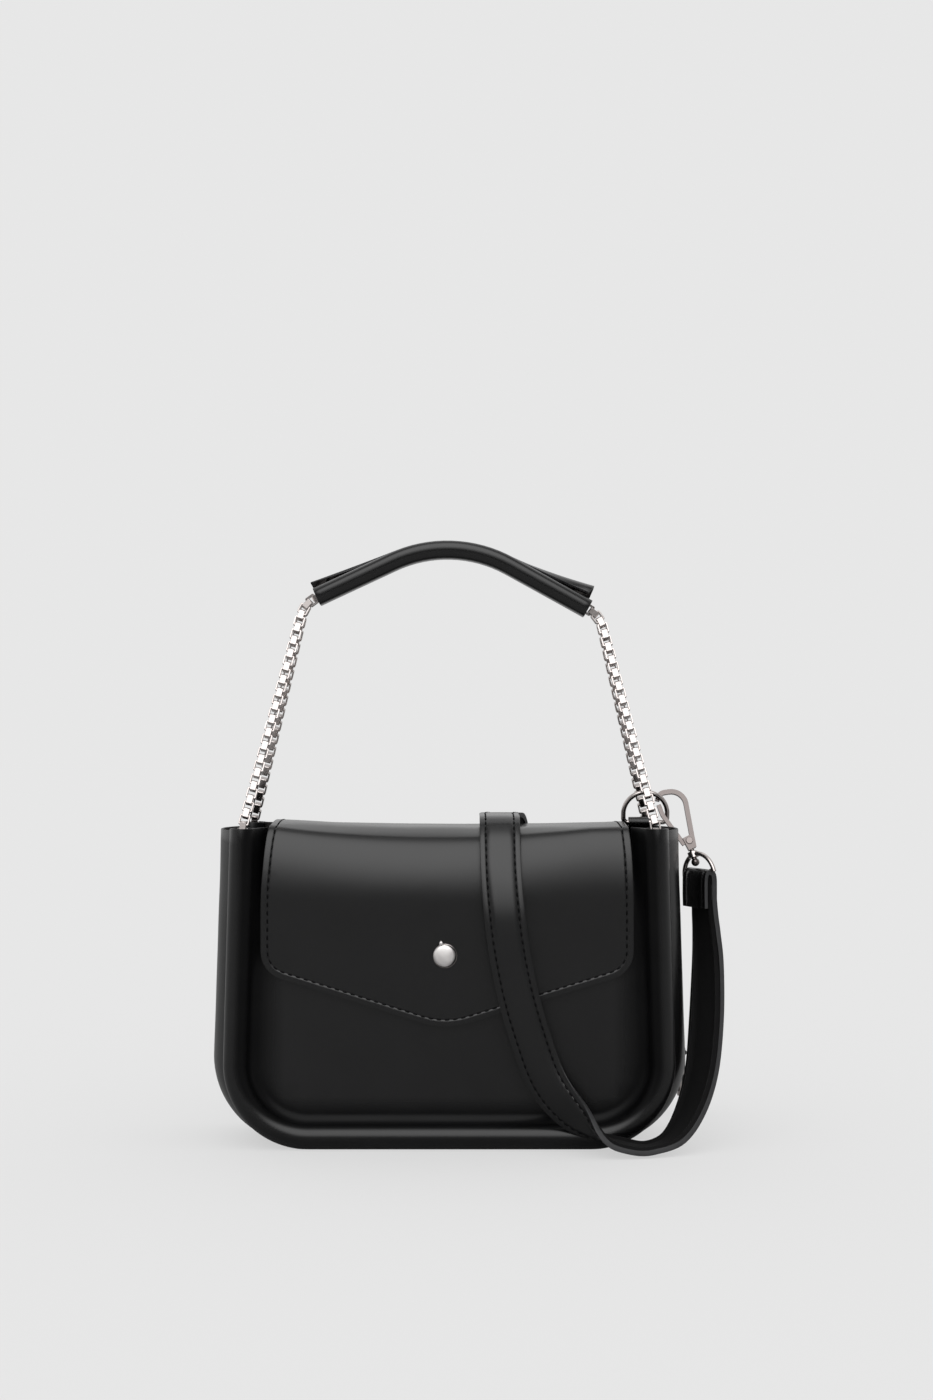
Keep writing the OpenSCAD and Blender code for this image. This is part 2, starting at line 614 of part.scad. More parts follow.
// A quarter bend of wire from along X to along Z
module wire_bend(wire_r, bend_r) {
    translate([0, 0, bend_r]) rotate([-90, 0, 0]) rotate_extrude(angle = 90, $fn = 48)
        translate([bend_r, 0]) circle(wire_r, $fn = 24);
}
module d_ring() {
    bend_r = ring_wire_d;
    bar = 2 * (ring_bow_r - bend_r);
    color(steel) {
        rotate([0, 90, 0]) cylinder(h = bar, r = ring_r, center = true, $fn = 24);
        for (s = [0, 1]) mirror([s, 0, 0]) {
            translate([ring_bow_r - bend_r, 0, 0]) wire_bend(ring_r, bend_r);
            translate([ring_bow_r, 0, bend_r])
                cylinder(h = ring_side_h - bend_r, r = ring_r, $fn = 24);
        }
        translate([0, 0, ring_side_h]) rotate([90, 0, 0]) rotate_extrude(angle = 180, $fn = 96)
            translate([ring_bow_r, 0]) circle(ring_r, $fn = 24);
    }
}
module ring_right() {
    translate([ring_right_x, eye_y, ring_right_z]) rotate([ring_lean, 0, 0]) d_ring();
}
module ring_left() {
    translate([-ring_left_x, left_eye_y, left_eye_z]) rotate([180, 0, 0]) d_ring();
}
tab_bottom = rim_top - lining_drop + soft_gap;
module ring_tab(centre_x, y, z, top) {
    color(black) difference() {
        union() {
            translate([centre_x, y, z]) rotate([0, 90, 0])
                cylinder(h = tab_w, r = eye_r, center = true, $fn = 48);
            translate([centre_x - tab_w / 2, tab_face - 2 * tab_t, tab_bottom])
                cube([tab_w, 2 * tab_t, top - tab_bottom]);
        }
        translate([centre_x, y, z]) rotate([0, 90, 0])
            cylinder(h = tab_w + 2 * overrun, r = ring_r + shaft_gap, center = true, $fn = 48);
    }
}
tab_right_x = top_x + 2 * soft_gap - tab_w / 2;
module ring_tab_right() { ring_tab(tab_right_x, eye_y, ring_right_z, ring_right_z); }
module ring_tab_left() { ring_tab(-ring_left_x, left_eye_y, left_eye_z, left_eye_z + eye_r); }

// Snap hook, drawn flat: u across, l along it from the gate's rivet to the tip.
// Its outlines are shares of the hook's length
hook_len = 28.2;
arm_shares = [[0.05, 0.106], [-0.078, 0.957], [-0.528, 0.883], [-0.56, 0.741]];
plate_shares = [[-0.01, -0.18], [0.125, -0.11], [0.085, 0.145], [-0.12, 0.04]];
gate_shares = [[-0.0875, -0.07], [-0.468, 0.479], [-0.535, 0.67]];
gate_swing = 18;
post_slant = 15;
post_dir = [sin(post_slant), 0, -cos(post_slant)];
slot_t = gate_t + 1.2 * soft_gap;
gate_root_r = gate_rivet_d / 2 + 1.1;
module flat_piece(t) {
    rotate([90, 0, 0]) linear_extrude(t, center = true) children();
}
module along_post(d) {
    translate(d * post_dir) rotate([0, 180 - post_slant, 0]) children();
}
post_from = 0.13 * hook_len;
post_to = 0.4 * hook_len;
boss_at = 0.26 * hook_len;
boss_h = 3;
module hook_body() {
    color(steel) difference() {
        union() {
            flat_piece(hook_t) polygon(hook_len * plate_shares);
            flat_piece(hook_arm_w) polygon(band(rounded([
                [hook_len * arm_shares[0], 0, 0],
                [hook_len * arm_shares[1], 0.266 * hook_len, 8],
                [hook_len * arm_shares[2], 0.15 * hook_len, 6],
                [hook_len * arm_shares[3], 0, 0]]), hook_arm_w));
            along_post(post_from) cylinder(h = post_to - post_from, d = post_d, $fn = 32);
            along_post(post_to) sphere(d = post_d * 1.6, $fn = 32);
        }
        flat_piece(slot_t) circle(gate_root_r + soft_gap, $fn = 48);
        for (i = [0:3]) rotate([0, gate_swing * i / 3, 0])
            flat_piece(slot_t) gate_strip(gate_w + 2 * soft_gap);
        rotate([90, 0, 0]) cylinder(h = 2 * hook_t, d = gate_rivet_d + shaft_gap, center = true, $fn = 48);
    }
}
module gate_strip(w) {
    polygon(band(rounded([
        [hook_len * gate_shares[0], 0, 0],
        [hook_len * gate_shares[1], hook_len / 4, 4],
        [hook_len * gate_shares[2], 0, 0]]), w));
}
module hook_gate() {
    color(steel) difference() {
        union() {
            flat_piece(gate_t) circle(gate_root_r, $fn = 48);
            flat_piece(gate_t) gate_strip(gate_w);
        }
        rotate([90, 0, 0])
            cylinder(h = 2 * hook_t, d = gate_rivet_d + 2 * shaft_gap, center = true, $fn = 48);
    }
}
module hook_rivet() {
    head_t = 0.5;
    color(steel) rotate([90, 0, 0]) {
        cylinder(h = hook_t, d = gate_rivet_d, center = true, $fn = 48);
        for (s = [-1, 1]) translate([0, 0, s * (hook_t + head_t) / 2])
            cylinder(h = head_t, r = gate_root_r * 0.8, center = true, $fn = 48);
    }
}
// The loop that the strap's end is sewn round: an arch with a boss for the post
loop_bow_r = strap_w / 2 + loop_wire_d / 2 + soft_gap;
loop_r = loop_wire_d / 2;
module swivel_loop() {
    color(steel) difference() {
        union() {
            rotate([90, 0, 0]) rotate_extrude(angle = 180, $fn = 96)
                translate([loop_bow_r, 0]) circle(loop_r, $fn = 24);
            for (s = [-1, 1]) translate([s * loop_bow_r, 0, -loop_r])
                cylinder(h = loop_r, r = loop_r, $fn = 24);
            rotate([0, 90, 0]) cylinder(h = 2 * loop_bow_r, r = loop_r * 0.9, center = true, $fn = 24);
            translate([0, 0, loop_bow_r]) cylinder(h = boss_h, d = 2 * post_d, center = true, $fn = 48);
        }
        translate([0, 0, loop_bow_r])
            cylinder(h = boss_h + 2 * overrun, d = post_d + 2 * shaft_gap, center = true, $fn = 48);
    }
}
// The strap's end, folded round the loop's bar and sewn to itself
end_len = 11;
fold_len = 18;
function end_eye_r() = loop_r + shaft_gap + tab_t;
module strap_end() {
    r = end_eye_r();
    color(black) difference() {
        union() {
            rotate([0, 90, 0]) cylinder(h = strap_w, r = r, center = true, $fn = 48);
            translate([-strap_w / 2, -strap_t / 2, -end_len]) cube([strap_w, strap_t, end_len]);
            translate([-strap_w / 2, -strap_t / 2 - soft_gap - tab_t, -fold_len])
                cube([strap_w, tab_t, fold_len]);
        }
        rotate([0, 90, 0]) cylinder(h = strap_w + 2 * overrun, r = loop_r + shaft_gap, center = true, $fn = 48);
    }
}

// Where the right hook hangs: its rivet, and the frame of its flat
hook_right_shares = [1.133, 0.352, 0.943];
hook_right_at = [hook_right_shares[0] * half_w, hook_right_shares[1] * half_d,
    hook_right_shares[2] * rim_top];
module at_hook_right() {
    translate(hook_right_at) rotate([-hook_lean, 0, 0]) children();
}
post_world = let (l = [0, sin(hook_lean), cos(hook_lean)])
    -sin(post_slant) * [1, 0, 0] + cos(post_slant) * l;
loop_right_at = hook_right_at - (boss_at + loop_bow_r) * post_world;
// The loop is free to turn on the post, and its strap has turned it
loop_right_across = square_to([0.75, -0.66, 0], post_world);
module framed(at, across, up) {
    n = cross(up, across);
    multmatrix([[across[0], n[0], up[0], at[0]], [across[1], n[1], up[1], at[1]],
        [across[2], n[2], up[2], at[2]], [0, 0, 0, 1]]) children();
}
module at_loop_right() { framed(loop_right_at, loop_right_across, post_world) children(); }
// The left hook lies loose on the floor behind the bag, flat side down
loop_left_z = end_eye_r() + shaft_gap;
loop_left_shares = [-0.576, 1.95];
loop_left_at = [loop_left_shares[0] * half_w, loop_left_shares[1] * half_d, loop_left_z];
module at_loop_left() { framed(loop_left_at, [0, 1, 0], [-1, 0, 0]) children(); }
module at_hook_left() {
    at_loop_left() translate([0, 0, boss_at + loop_bow_r]) rotate([0, post_slant, 0]) children();
}
module hook_right() { at_hook_right() hook_body(); }
module hook_right_gate() { at_hook_right() hook_gate(); }
module hook_right_rivet() { at_hook_right() hook_rivet(); }
module swivel_loop_right() { at_loop_right() swivel_loop(); }
module strap_end_right() { at_loop_right() strap_end(); }
module hook_left() { at_hook_left() hook_body(); }
module hook_left_gate() { at_hook_left() hook_gate(); }
module hook_left_rivet() { at_hook_left() hook_rivet(); }
module swivel_loop_left() { at_loop_left() swivel_loop(); }
module strap_end_left() { at_loop_left() strap_end(); }

// Strap: rows of [x, y, z, across x, across y, across z]. The places are shares
// of the bag's half width, half depth and height, chosen by hand
front_route_shares = [
    [0.232, 0.227, 1.026, 1, 0, 0], [0.232, -0.34, 1.026, 1, 0, 0],
    [0.232, -0.62, 1.016, 1, 0, 0], [0.232, -0.825, 0.99, 1, 0, 0],
    [0.232, -0.902, 0.947, 1, 0, 0], [0.235, -0.91, 0.885, 1, 0, 0],
    [0.255, -0.91, 0.713, 1, 0, 0.1],
    [0.297, -0.91, 0.535, 0.98, 0, 0.2], [0.362, -0.93, 0.369, 0.95, -0.05, 0.3],
    [0.455, -0.995, 0.229, 0.9, -0.2, 0.45], [0.567, -1.1, 0.134, 0.8, -0.5, 0.3],
    [0.706, -1.29, 0.057, 0.45, -0.88, -0.1], [0.8, -1.305, 0.029, 0.15, -0.98, -0.1],
    [0.9, -1.22, 0.0175, 0.05, -1, 0], [1.013, -1.05, 0.042, 0.35, -0.93, -0.05],
    [1.096, -0.823, 0.115, 0.6, -0.8, 0], [1.157, -0.567, 0.229, 0.7, -0.7, 0],
    [1.189, -0.284, 0.382, 0.75, -0.66, 0], [1.21, -0.08, 0.548, 0.78, -0.6, 0.05]];
back_route_shares = [
    [0.232, 0.235, 1.026, 1, 0, 0], [0.232, 0.34, 1.026, 1, 0, 0],
    [0.233, 0.44, 1.026, 1, 0, 0], [0.244, 0.6, 1.026, 1, -0.05, 0],
    [0.266, 0.82, 1.018, 1, -0.1, 0], [0.283, 0.98, 0.985, 1, -0.08, 0.03],
    [0.297, 1.1, 0.92, 1, 0, 0.12], [0.32, 1.14, 0.82, 0.97, 0, 0.24],
    [0.39, 1.149, 0.67, 0.92, 0, 0.4],
    [0.51, 1.163, 0.5, 0.84, 0, 0.54], [0.687, 1.177, 0.35, 0.73, 0, 0.68],
    [0.873, 1.177, 0.242, 0.5, 0, 0.86], [0.994, 1.177, 0.191, 0.25, 0, 0.97],
    [1.073, 1.214, 0.169, 0.1, 0, 1], [1.113, 1.3, 0.159, 0, 0, 1]];
return_route_shares = [
    [1.082, 1.39, 0.156, 0, 0, 1], [1.086, 1.518, 0.156, 0, 0, 1],
    [1.113, 1.674, 0.156, 0, 0, 1], [1.15, 1.85, 0.155, 0, 0, 1],
    [1.152, 2.043, 0.153, 0, 0, 1], [1.11, 2.27, 0.143, 0, 0, 1],
    [1.013, 2.369, 0.124, 0, 0.1, 1], [0.855, 2.355, 0.092, 0, 0.35, 0.93],
    [0.66, 2.298, 0.0605, 0, 0.65, 0.75], [0.446, 2.213, 0.032, 0, 0.92, 0.4],
    [0.223, 2.128, 0.014, 0, 1, 0.1], [0, 2.057, 0.0102, 0, 1, 0],
    [-0.23, 2.0, 0.0102, 0, 1, 0]];
function route(shares) = [for (s = shares)
    [s[0] * half_w, s[1] * half_d, s[2] * rim_top, s[3], s[4], s[5]]];
// Two more turns of a smooth curve between each pair of rows
function smooth(rows, n) = [for (i = [0:len(rows) - 2], k = [0:n - 1])
    let (
        a = rows[max(i - 1, 0)], b = rows[i], c = rows[i + 1],
        d = rows[min(i + 2, len(rows) - 1)], t = k / n)
    0.5 * (2 * b + t * (c - a) + t * t * (2 * a - 5 * b + 4 * c - d)
        + t * t * t * (3 * b - a - 3 * c + d)), rows[len(rows) - 1]];
module ribbon(rows, n = 3) {
    line = smooth(rows, n);
    function spot(i) = [line[i][0], line[i][1], line[i][2]];
    function skin(side) = [for (i = [0:len(line) - 1])
        let (
            d = unit(spot(min(i + 1, len(line) - 1)) - spot(max(i - 1, 0))),
            a = square_to([line[i][3], line[i][4], line[i][5]], d), out = cross(a, d) * side)
        [for (w = [-1, 1]) spot(i) + w * strap_w / 2 * a + strap_t / 2 * out]];
    color(black) strip(skin(-1), skin(1));
}
function row(p, a) = [p[0], p[1], p[2], a[0], a[1], a[2]];
module strap_front() {
    ribbon(concat(route(front_route_shares),
        [for (d = [fold_len + end_len, fold_len + overrun, end_len + soft_gap])
            row(loop_right_at - d * post_world, loop_right_across)]));
}
module strap_back() { ribbon(route(back_route_shares)); }
module strap_return() {
    e = loop_left_at + [end_len + soft_gap, 0, 0];
    difference() {
        ribbon(concat(route(return_route_shares), [row(e + [end_len, 0, 0], [0, 1, 0]), row(e, [0, 1, 0])]));
        translate(buckle_at + [0, buckle_len * 0.36, 0])
            cube([buckle_len, buckle_len * 0.67, prong_d + 2 * soft_gap], center = true);
    }
}

// Buckle: its first bar holds the end of the back run, and its prong turns on it
buckle_shares = [1.124, 1.433, 0.156];
buckle_at = [buckle_shares[0] * half_w, buckle_shares[1] * half_d, buckle_shares[2] * rim_top];
bar_r = buckle_t / 2;
buckle_side = strap_w / 2 + soft_gap * 2 + bar_r;
module buckle_frame() {
    color(steel) translate(buckle_at) difference() {
        union() {
            cylinder(h = 2 * buckle_side, r = bar_r * 0.9, center = true, $fn = 32);
            for (s = [-1, 1]) translate([0, buckle_len / 2 - bar_r, s * buckle_side])
                cube([buckle_t, buckle_len, buckle_t], center = true);
            translate([0, buckle_len - 2 * bar_r, 0])
                cube([buckle_t, buckle_t, 2 * buckle_side], center = true);
        }
    }
}
module buckle_prong() {
    reach = buckle_len - bar_r;
    color(steel) translate(buckle_at) difference() {
        union() {
            cylinder(h = 2 * prong_d, r = bar_r + prong_d * 0.6, center = true, $fn = 32);
            rotate([0, 0, 12]) translate([-bar_r * 1.5, reach / 2, 0]) rotate([90, 0, 0])
                cylinder(h = reach, d = prong_d, center = true, $fn = 24);
        }
        cylinder(h = 4 * prong_d, r = bar_r * 0.9 + shaft_gap, center = true, $fn = 32);
    }
}

front_panel();
back_panel();
gusset();
lining();
base_board();
flap_root();
flap();
flap_lining();
lock_plate();
lock_ring();
knob_cap();
knob_spindle();
toggle_bar();
handle_wrap();
grip_chain_front();
grip_chain_back();
chain_front_left();
chain_front_right();
chain_back_left();
chain_back_right();
chain_anchors();
ring_tab_right();
ring_tab_left();
ring_right();
ring_left();
hook_right();
hook_right_gate();
hook_right_rivet();
swivel_loop_right();
hook_left();
hook_left_gate();
hook_left_rivet();
swivel_loop_left();
strap_front();
strap_back();
strap_return();
strap_end_right();
strap_end_left();
buckle_frame();
buckle_prong();
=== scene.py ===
# %% [markdown]
# A black leather shoulder bag. Two flat panels have their edges rolled into a
# hollow U. A gusset joins them, a pointed flap with a turn lock closes them, and
# four box chains rise from the cut ends of the rolls into a leather-wrapped
# handle. A strap with snap hooks lies over the flap.
#
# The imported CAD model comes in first, as a fixed frame. The hard parts are
# dressed in metal, and the soft ones are modelled again as leather.

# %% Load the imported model
import math

import bmesh
import bpy
from mathutils import Matrix, Vector, noise


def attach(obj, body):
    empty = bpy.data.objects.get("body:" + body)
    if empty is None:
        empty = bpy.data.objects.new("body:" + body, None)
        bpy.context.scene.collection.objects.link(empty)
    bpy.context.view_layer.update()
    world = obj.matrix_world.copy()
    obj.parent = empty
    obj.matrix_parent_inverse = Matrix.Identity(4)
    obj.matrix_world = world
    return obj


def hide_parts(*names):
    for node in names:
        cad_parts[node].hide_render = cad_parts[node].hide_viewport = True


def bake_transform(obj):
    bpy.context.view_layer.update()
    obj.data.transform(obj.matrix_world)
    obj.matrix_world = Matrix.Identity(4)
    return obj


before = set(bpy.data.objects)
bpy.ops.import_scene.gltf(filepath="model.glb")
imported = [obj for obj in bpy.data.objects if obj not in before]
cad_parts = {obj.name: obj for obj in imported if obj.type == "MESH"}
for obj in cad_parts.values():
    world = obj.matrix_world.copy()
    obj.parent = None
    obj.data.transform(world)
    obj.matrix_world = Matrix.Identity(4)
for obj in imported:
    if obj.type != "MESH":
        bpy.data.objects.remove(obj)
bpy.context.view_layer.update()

# %% [markdown]
# The photograph was taken level and from straight in front, with a lens a
# little longer than normal. The two leather rolls at the front and the two at
# the back give the distance: their sizes in the picture differ by 6 percent
# over 58 mm, which puts the camera just over a metre away.

# %% Camera
MM = 0.001
camera_data = bpy.data.cameras.new("camera")
camera_data.sensor_width = 36
camera_data.lens = 55.35
camera_data.clip_start = 0.05
camera = bpy.data.objects.new("camera", camera_data)
camera.location = (8.5 * MM, -1085 * MM, 220 * MM)
camera.rotation_euler = (math.radians(90), 0, 0)
bpy.context.scene.collection.objects.link(camera)
bpy.context.scene.camera = camera
bpy.context.scene.view_settings.view_transform = "Standard"
print("camera stands", round(-camera.location.y, 3), "m in front of the bag's middle")

# %% [markdown]
# Every material is a Principled BSDF. Numbers that are the same all over are
# set on its sockets. Small variation comes from noise on Object coordinates,
# because a pattern tied to the object stays put on it in every view.

# %% Material helpers
def new_material(name, **sockets):
    material = bpy.data.materials.new(name)
    material.use_nodes = True
    shader = material.node_tree.nodes["Principled BSDF"]
    for socket, value in sockets.items():
        shader.inputs[socket.replace("_", " ")].default_value = value
    return material, material.node_tree, shader


def link(tree, out_node, out_socket, in_node, in_socket):
    tree.links.new(out_node.outputs[out_socket], in_node.inputs[in_socket])


def add_noise(tree, scale, detail=3.0, roughness=0.5, stretch=(1, 1, 1)):
    place = tree.nodes.new("ShaderNodeTexCoord")
    mapping = tree.nodes.new("ShaderNodeMapping")
    mapping.inputs["Scale"].default_value = stretch
    grain = tree.nodes.new("ShaderNodeTexNoise")
    grain.inputs["Scale"].default_value = scale
    grain.inputs["Detail"].default_value = detail
    grain.inputs["Roughness"].default_value = roughness
    link(tree, place, "Object", mapping, "Vector")
    link(tree, mapping, "Vector", grain, "Vector")
    return grain


def spread(tree, grain, low, high, shader, socket):
    ramp = tree.nodes.new("ShaderNodeMapRange")
    ramp.inputs["From Min"].default_value = 0.3
    ramp.inputs["From Max"].default_value = 0.7
    ramp.inputs["To Min"].default_value = low
    ramp.inputs["To Max"].default_value = high
    link(tree, grain, "Fac", ramp, "Value")
    link(tree, ramp, "Result", shader, socket)


def two_colours(tree, grain, dark, light, shader):
    mix = tree.nodes.new("ShaderNodeMix")
    mix.data_type = "RGBA"
    mix.inputs["A"].default_value = (*dark, 1)
    mix.inputs["B"].default_value = (*light, 1)
    link(tree, grain, "Fac", mix, "Factor")
    link(tree, mix, "Result", shader, "Base Color")


def add_bumps(tree, shader, *layers, coated=False):
    """Each layer is (noise node, strength, depth in metres). They add up."""
    before = None
    for grain, strength, depth in layers:
        bump = tree.nodes.new("ShaderNodeBump")
        bump.inputs["Strength"].default_value = strength
        bump.inputs["Distance"].default_value = depth
        link(tree, grain, "Fac", bump, "Height")
        if before:
            link(tree, before, "Normal", bump, "Normal")
        before = bump
    link(tree, before, "Normal", shader, "Normal")
    if coated:
        link(tree, before, "Normal", shader, "Coat Normal")


print("material helpers are ready")

# %% [markdown]
# The outside is smooth calf leather. The dye is nearly black, so what the eye
# sees is the polish on top. The polish is a clear coat, and its bumps are
# shared with the leather below: fine pores, small creases and long soft waves
# that bend the reflections. On the panels the coat fades out in the crease
# beside each roll and on the roll's underside: painted shade that darkens them.
# The panels carry that as a number on each point.

# %% Polished leather
def make_leather(name, roughness, coat_roughness, polish_and_shade=None):
    """Nearly black leather under a coat of weight polish_and_shade; if that is None, the coat
    weight comes from the mesh's numbers, which hold painted shade.
    """
    material, tree, shader = new_material(
        name, Coat_Roughness=coat_roughness, Coat_IOR=1.5, Specular_IOR_Level=0.08)
    pores = add_noise(tree, 1500, 4.0, 0.6)
    creases = add_noise(tree, 420, 3.0, 0.55)
    waves = add_noise(tree, 28, 2.0, 0.4)
    clouds = add_noise(tree, 60, 3.0, 0.5)
    two_colours(tree, clouds, (0.0015, 0.0015, 0.0017), (0.0032, 0.0032, 0.0035), shader)
    spread(tree, clouds, roughness - 0.04, roughness + 0.05, shader, "Roughness")
    add_bumps(tree, shader, (waves, 0.35, 0.0006), (creases, 0.25, 0.00004), (pores, 0.3, 0.00002),
              coated=True)
    # Without a given weight the coat follows the mesh's numbers, which thin it in the creases and
    # under the rolls as painted shade.
    if polish_and_shade is None:
        shade_mask = tree.nodes.new("ShaderNodeAttribute")
        shade_mask.attribute_name = "polish_and_shade"
        link(tree, shade_mask, "Fac", shader, "Coat Weight")
    else:
        shader.inputs["Coat Weight"].default_value = polish_and_shade
    return material


polished = make_leather("polished_leather", 0.45, 0.26, 1.0)
# The panels' leather takes its coat weight from the mesh, with painted shade in the creases.
rolled_shaded = make_leather("rolled_leather_painted_shade", 0.45, 0.26)
glazed = make_leather("glazed_leather", 0.45, 0.17, 1.0)
print("materials:", [m.name for m in bpy.data.materials])

# %% [markdown]
# The other leather finishes differ in how they take light. The strap's
# underside is left raw and matte with a faint nap. Cut edges are painted, so
# they are satin and a touch lighter. Thread is matte with a soft sheen.

# %% Matte leather, edge paint, lining and thread
matte, tree, shader = new_material("matte_leather", Specular_IOR_Level=0.12, Sheen_Weight=0.05,
                                   Sheen_Roughness=0.5)
fibres = add_noise(tree, 2200, 5.0, 0.7)
two_colours(tree, fibres, (0.002, 0.002, 0.0022), (0.006, 0.0058, 0.006), shader)
spread(tree, fibres, 0.62, 0.82, shader, "Roughness")
add_bumps(tree, shader, (fibres, 0.6, 0.00008))

edge_paint, tree, shader = new_material("edge_paint", Specular_IOR_Level=0.4)
drips = add_noise(tree, 300, 2.0, 0.5)
two_colours(tree, drips, (0.022, 0.022, 0.0235), (0.04, 0.04, 0.042), shader)
spread(tree, drips, 0.42, 0.6, shader, "Roughness")
add_bumps(tree, shader, (drips, 0.4, 0.00008))

lining, tree, shader = new_material("lining_leather", Specular_IOR_Level=0.3)
suede = add_noise(tree, 900, 5.0, 0.65)
two_colours(tree, suede, (0.012, 0.011, 0.011), (0.026, 0.024, 0.023), shader)
spread(tree, suede, 0.7, 0.9, shader, "Roughness")
add_bumps(tree, shader, (suede, 0.5, 0.00006))

thread, tree, shader = new_material("waxed_thread", Specular_IOR_Level=0.09)
twist = add_noise(tree, 2500, 2.0, 0.5, (1, 1, 0.3))
two_colours(tree, twist, (0.0012, 0.0012, 0.0014), (0.004, 0.004, 0.0045), shader)
spread(tree, twist, 0.5, 0.65, shader, "Roughness")
add_bumps(tree, shader, (twist, 0.5, 0.00006))

board, tree, shader = new_material("stiff_board", Specular_IOR_Level=0.2)
pulp = add_noise(tree, 700, 5.0, 0.7)
two_colours(tree, pulp, (0.16, 0.12, 0.085), (0.3, 0.24, 0.18), shader)
spread(tree, pulp, 0.75, 0.95, shader, "Roughness")
add_bumps(tree, shader, (pulp, 0.5, 0.0001))
print("materials so far:", len(bpy.data.materials))

# %% [markdown]
# The metal is bright nickel plate. Plating is nearly a mirror, and the eye
# reads it as metal through fine handling marks: roughness that changes in
# patches, and very shallow scratches.

# %% Nickel plate
def make_nickel(name, roughness, scratch, dark=(0.50, 0.455, 0.44), light=(0.66, 0.61, 0.59)):
    material, tree, shader = new_material(name, Metallic=1.0)
    patches = add_noise(tree, 260, 3.0, 0.6)
    scratches = add_noise(tree, 900, 2.0, 0.5, (1, 6, 1))
    two_colours(tree, patches, dark, light, shader)
    spread(tree, patches, roughness * 0.7, roughness * 1.5, shader, "Roughness")
    add_bumps(tree, shader, (scratches, scratch, 0.00002))
    return material


nickel = make_nickel("nickel_plate", 0.13, 0.3)
# The hooks and their rivets get darker copies of the same plating: painted shade, so that they
# look less lit than the chain.
shaded_nickel = make_nickel("nickel_painted_shade", 0.2, 0.5, (0.13, 0.113, 0.109), (0.21, 0.186, 0.179))
shaded_rivet_nickel = make_nickel("nickel_rivet_painted_shade", 0.25, 0.5, (0.2, 0.175, 0.168), (0.3, 0.265, 0.255))
# The knob's nickel is brushed, and much paler than the rest: a painted highlight that keeps its
# face bright.
satin_highlight = make_nickel("nickel_satin_painted_highlight", 0.42, 0.6, (0.84, 0.8, 0.785), (0.95, 0.93, 0.92))
print("finishes:", sorted(m.name for m in bpy.data.materials))

# %% [markdown]
# All the mesh work uses a few helpers. A sheet of leather starts as a line of
# edges that is extruded along a straight stretch and spun round a corner, or
# as a flat grid that is bent into place. Solidify gives it a wall, with paint
# on the cut rim, and Bevel rounds that rim.

# %% Mesh helpers
def finish_mesh(name, bm, *materials, smooth=40):
    mesh = bpy.data.meshes.new(name)
    bm.to_mesh(mesh)
    bm.free()
    for face in mesh.polygons:
        face.use_smooth = True
    mesh.set_sharp_from_angle(angle=math.radians(smooth))
    for material in materials:
        mesh.materials.append(material)
    obj = bpy.data.objects.new(name, mesh)
    bpy.context.scene.collection.objects.link(obj)
    return obj


def thicken(obj, thickness, inside=0, rim=0, round_off=0.25 * MM, painted=False):
    """Gives a sheet its wall. inside and rim are places in the object's material list."""
    wall = obj.modifiers.new("wall", "SOLIDIFY")
    wall.thickness = thickness
    wall.offset = -1
    wall.use_even_offset = True
    wall.material_offset = inside
    wall.material_offset_rim = rim
    if round_off:
        soften = obj.modifiers.new("soften", "BEVEL")
        soften.width = round_off
        soften.segments = 2
        soften.limit_method = "ANGLE"
        soften.angle_limit = math.radians(55)
        if painted:
            soften.material = rim
    return obj


def arc(centre, radius, start, end, steps):
    """Points on an arc, angles in degrees."""
    angles = [math.radians(start + (end - start) * i / steps) for i in range(steps + 1)]
    return [(centre[0] + radius * math.cos(a), centre[1] + radius * math.sin(a)) for a in angles]


def line_of_edges(bm, points):
    verts = [bm.verts.new(p) for p in points]
    return [bm.edges.new(pair) for pair in zip(verts, verts[1:])]


def only(kind, geom):
    return [g for g in geom if isinstance(g, kind)]


def extruded(bm, edges, move, steps=1):
    """Extrudes edges along move in equal steps and returns the last ones."""
    for _ in range(steps):
        made = bmesh.ops.extrude_edge_only(bm, edges=edges)["geom"]
        bmesh.ops.translate(bm, verts=only(bmesh.types.BMVert, made), vec=Vector(move) / steps)
        edges = only(bmesh.types.BMEdge, made)
    return edges


def spun(bm, edges, centre, axis, degrees, steps):
    """Spins edges round an axis and returns the last ones."""
    made = bmesh.ops.spin(bm, geom=edges, cent=centre, axis=axis, angle=math.radians(degrees),
                          steps=steps, dvec=(0, 0, 0), use_merge=False)["geom_last"]
    return only(bmesh.types.BMEdge, made)


def cut_across(bm, axis, values, faces=None):
    """Adds cuts at each value along one axis, so that a flat sheet can bend.

    faces, if given, tells for a face whether it is cut.
    """
    normal = Vector([1 if i == axis else 0 for i in range(3)])
    for value in values:
        chosen = [f for f in bm.faces if faces is None or faces(f)]
        geom = list({*chosen, *[e for f in chosen for e in f.edges],
                     *[v for f in chosen for v in f.verts]})
        bmesh.ops.bisect_plane(bm, geom=geom, dist=1e-7, plane_co=normal * value, plane_no=normal)


def face_out(bm, test):
    """Makes normals agree, then turns them all if the tested face points the wrong way."""
    bmesh.ops.recalc_face_normals(bm, faces=bm.faces)
    if not test(bm):
        bmesh.ops.reverse_faces(bm, faces=bm.faces)


def at_rest(obj, body, node):
    """Ties a piece to its body, in place of a CAD node."""
    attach(obj, body)
    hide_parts(node)
    return obj


print("mesh helpers are ready")

# %% [markdown]
# A panel is one sheet. At its rim the leather turns through a groove, round a
# hollow roll, and back behind itself. The section below is drawn once, swept
# down one leg, spun round the corner, run to the middle and mirrored. The flat
# middle is filled as one face and cut into a grid, so that it can belly out a
# little, as a stuffed bag does.

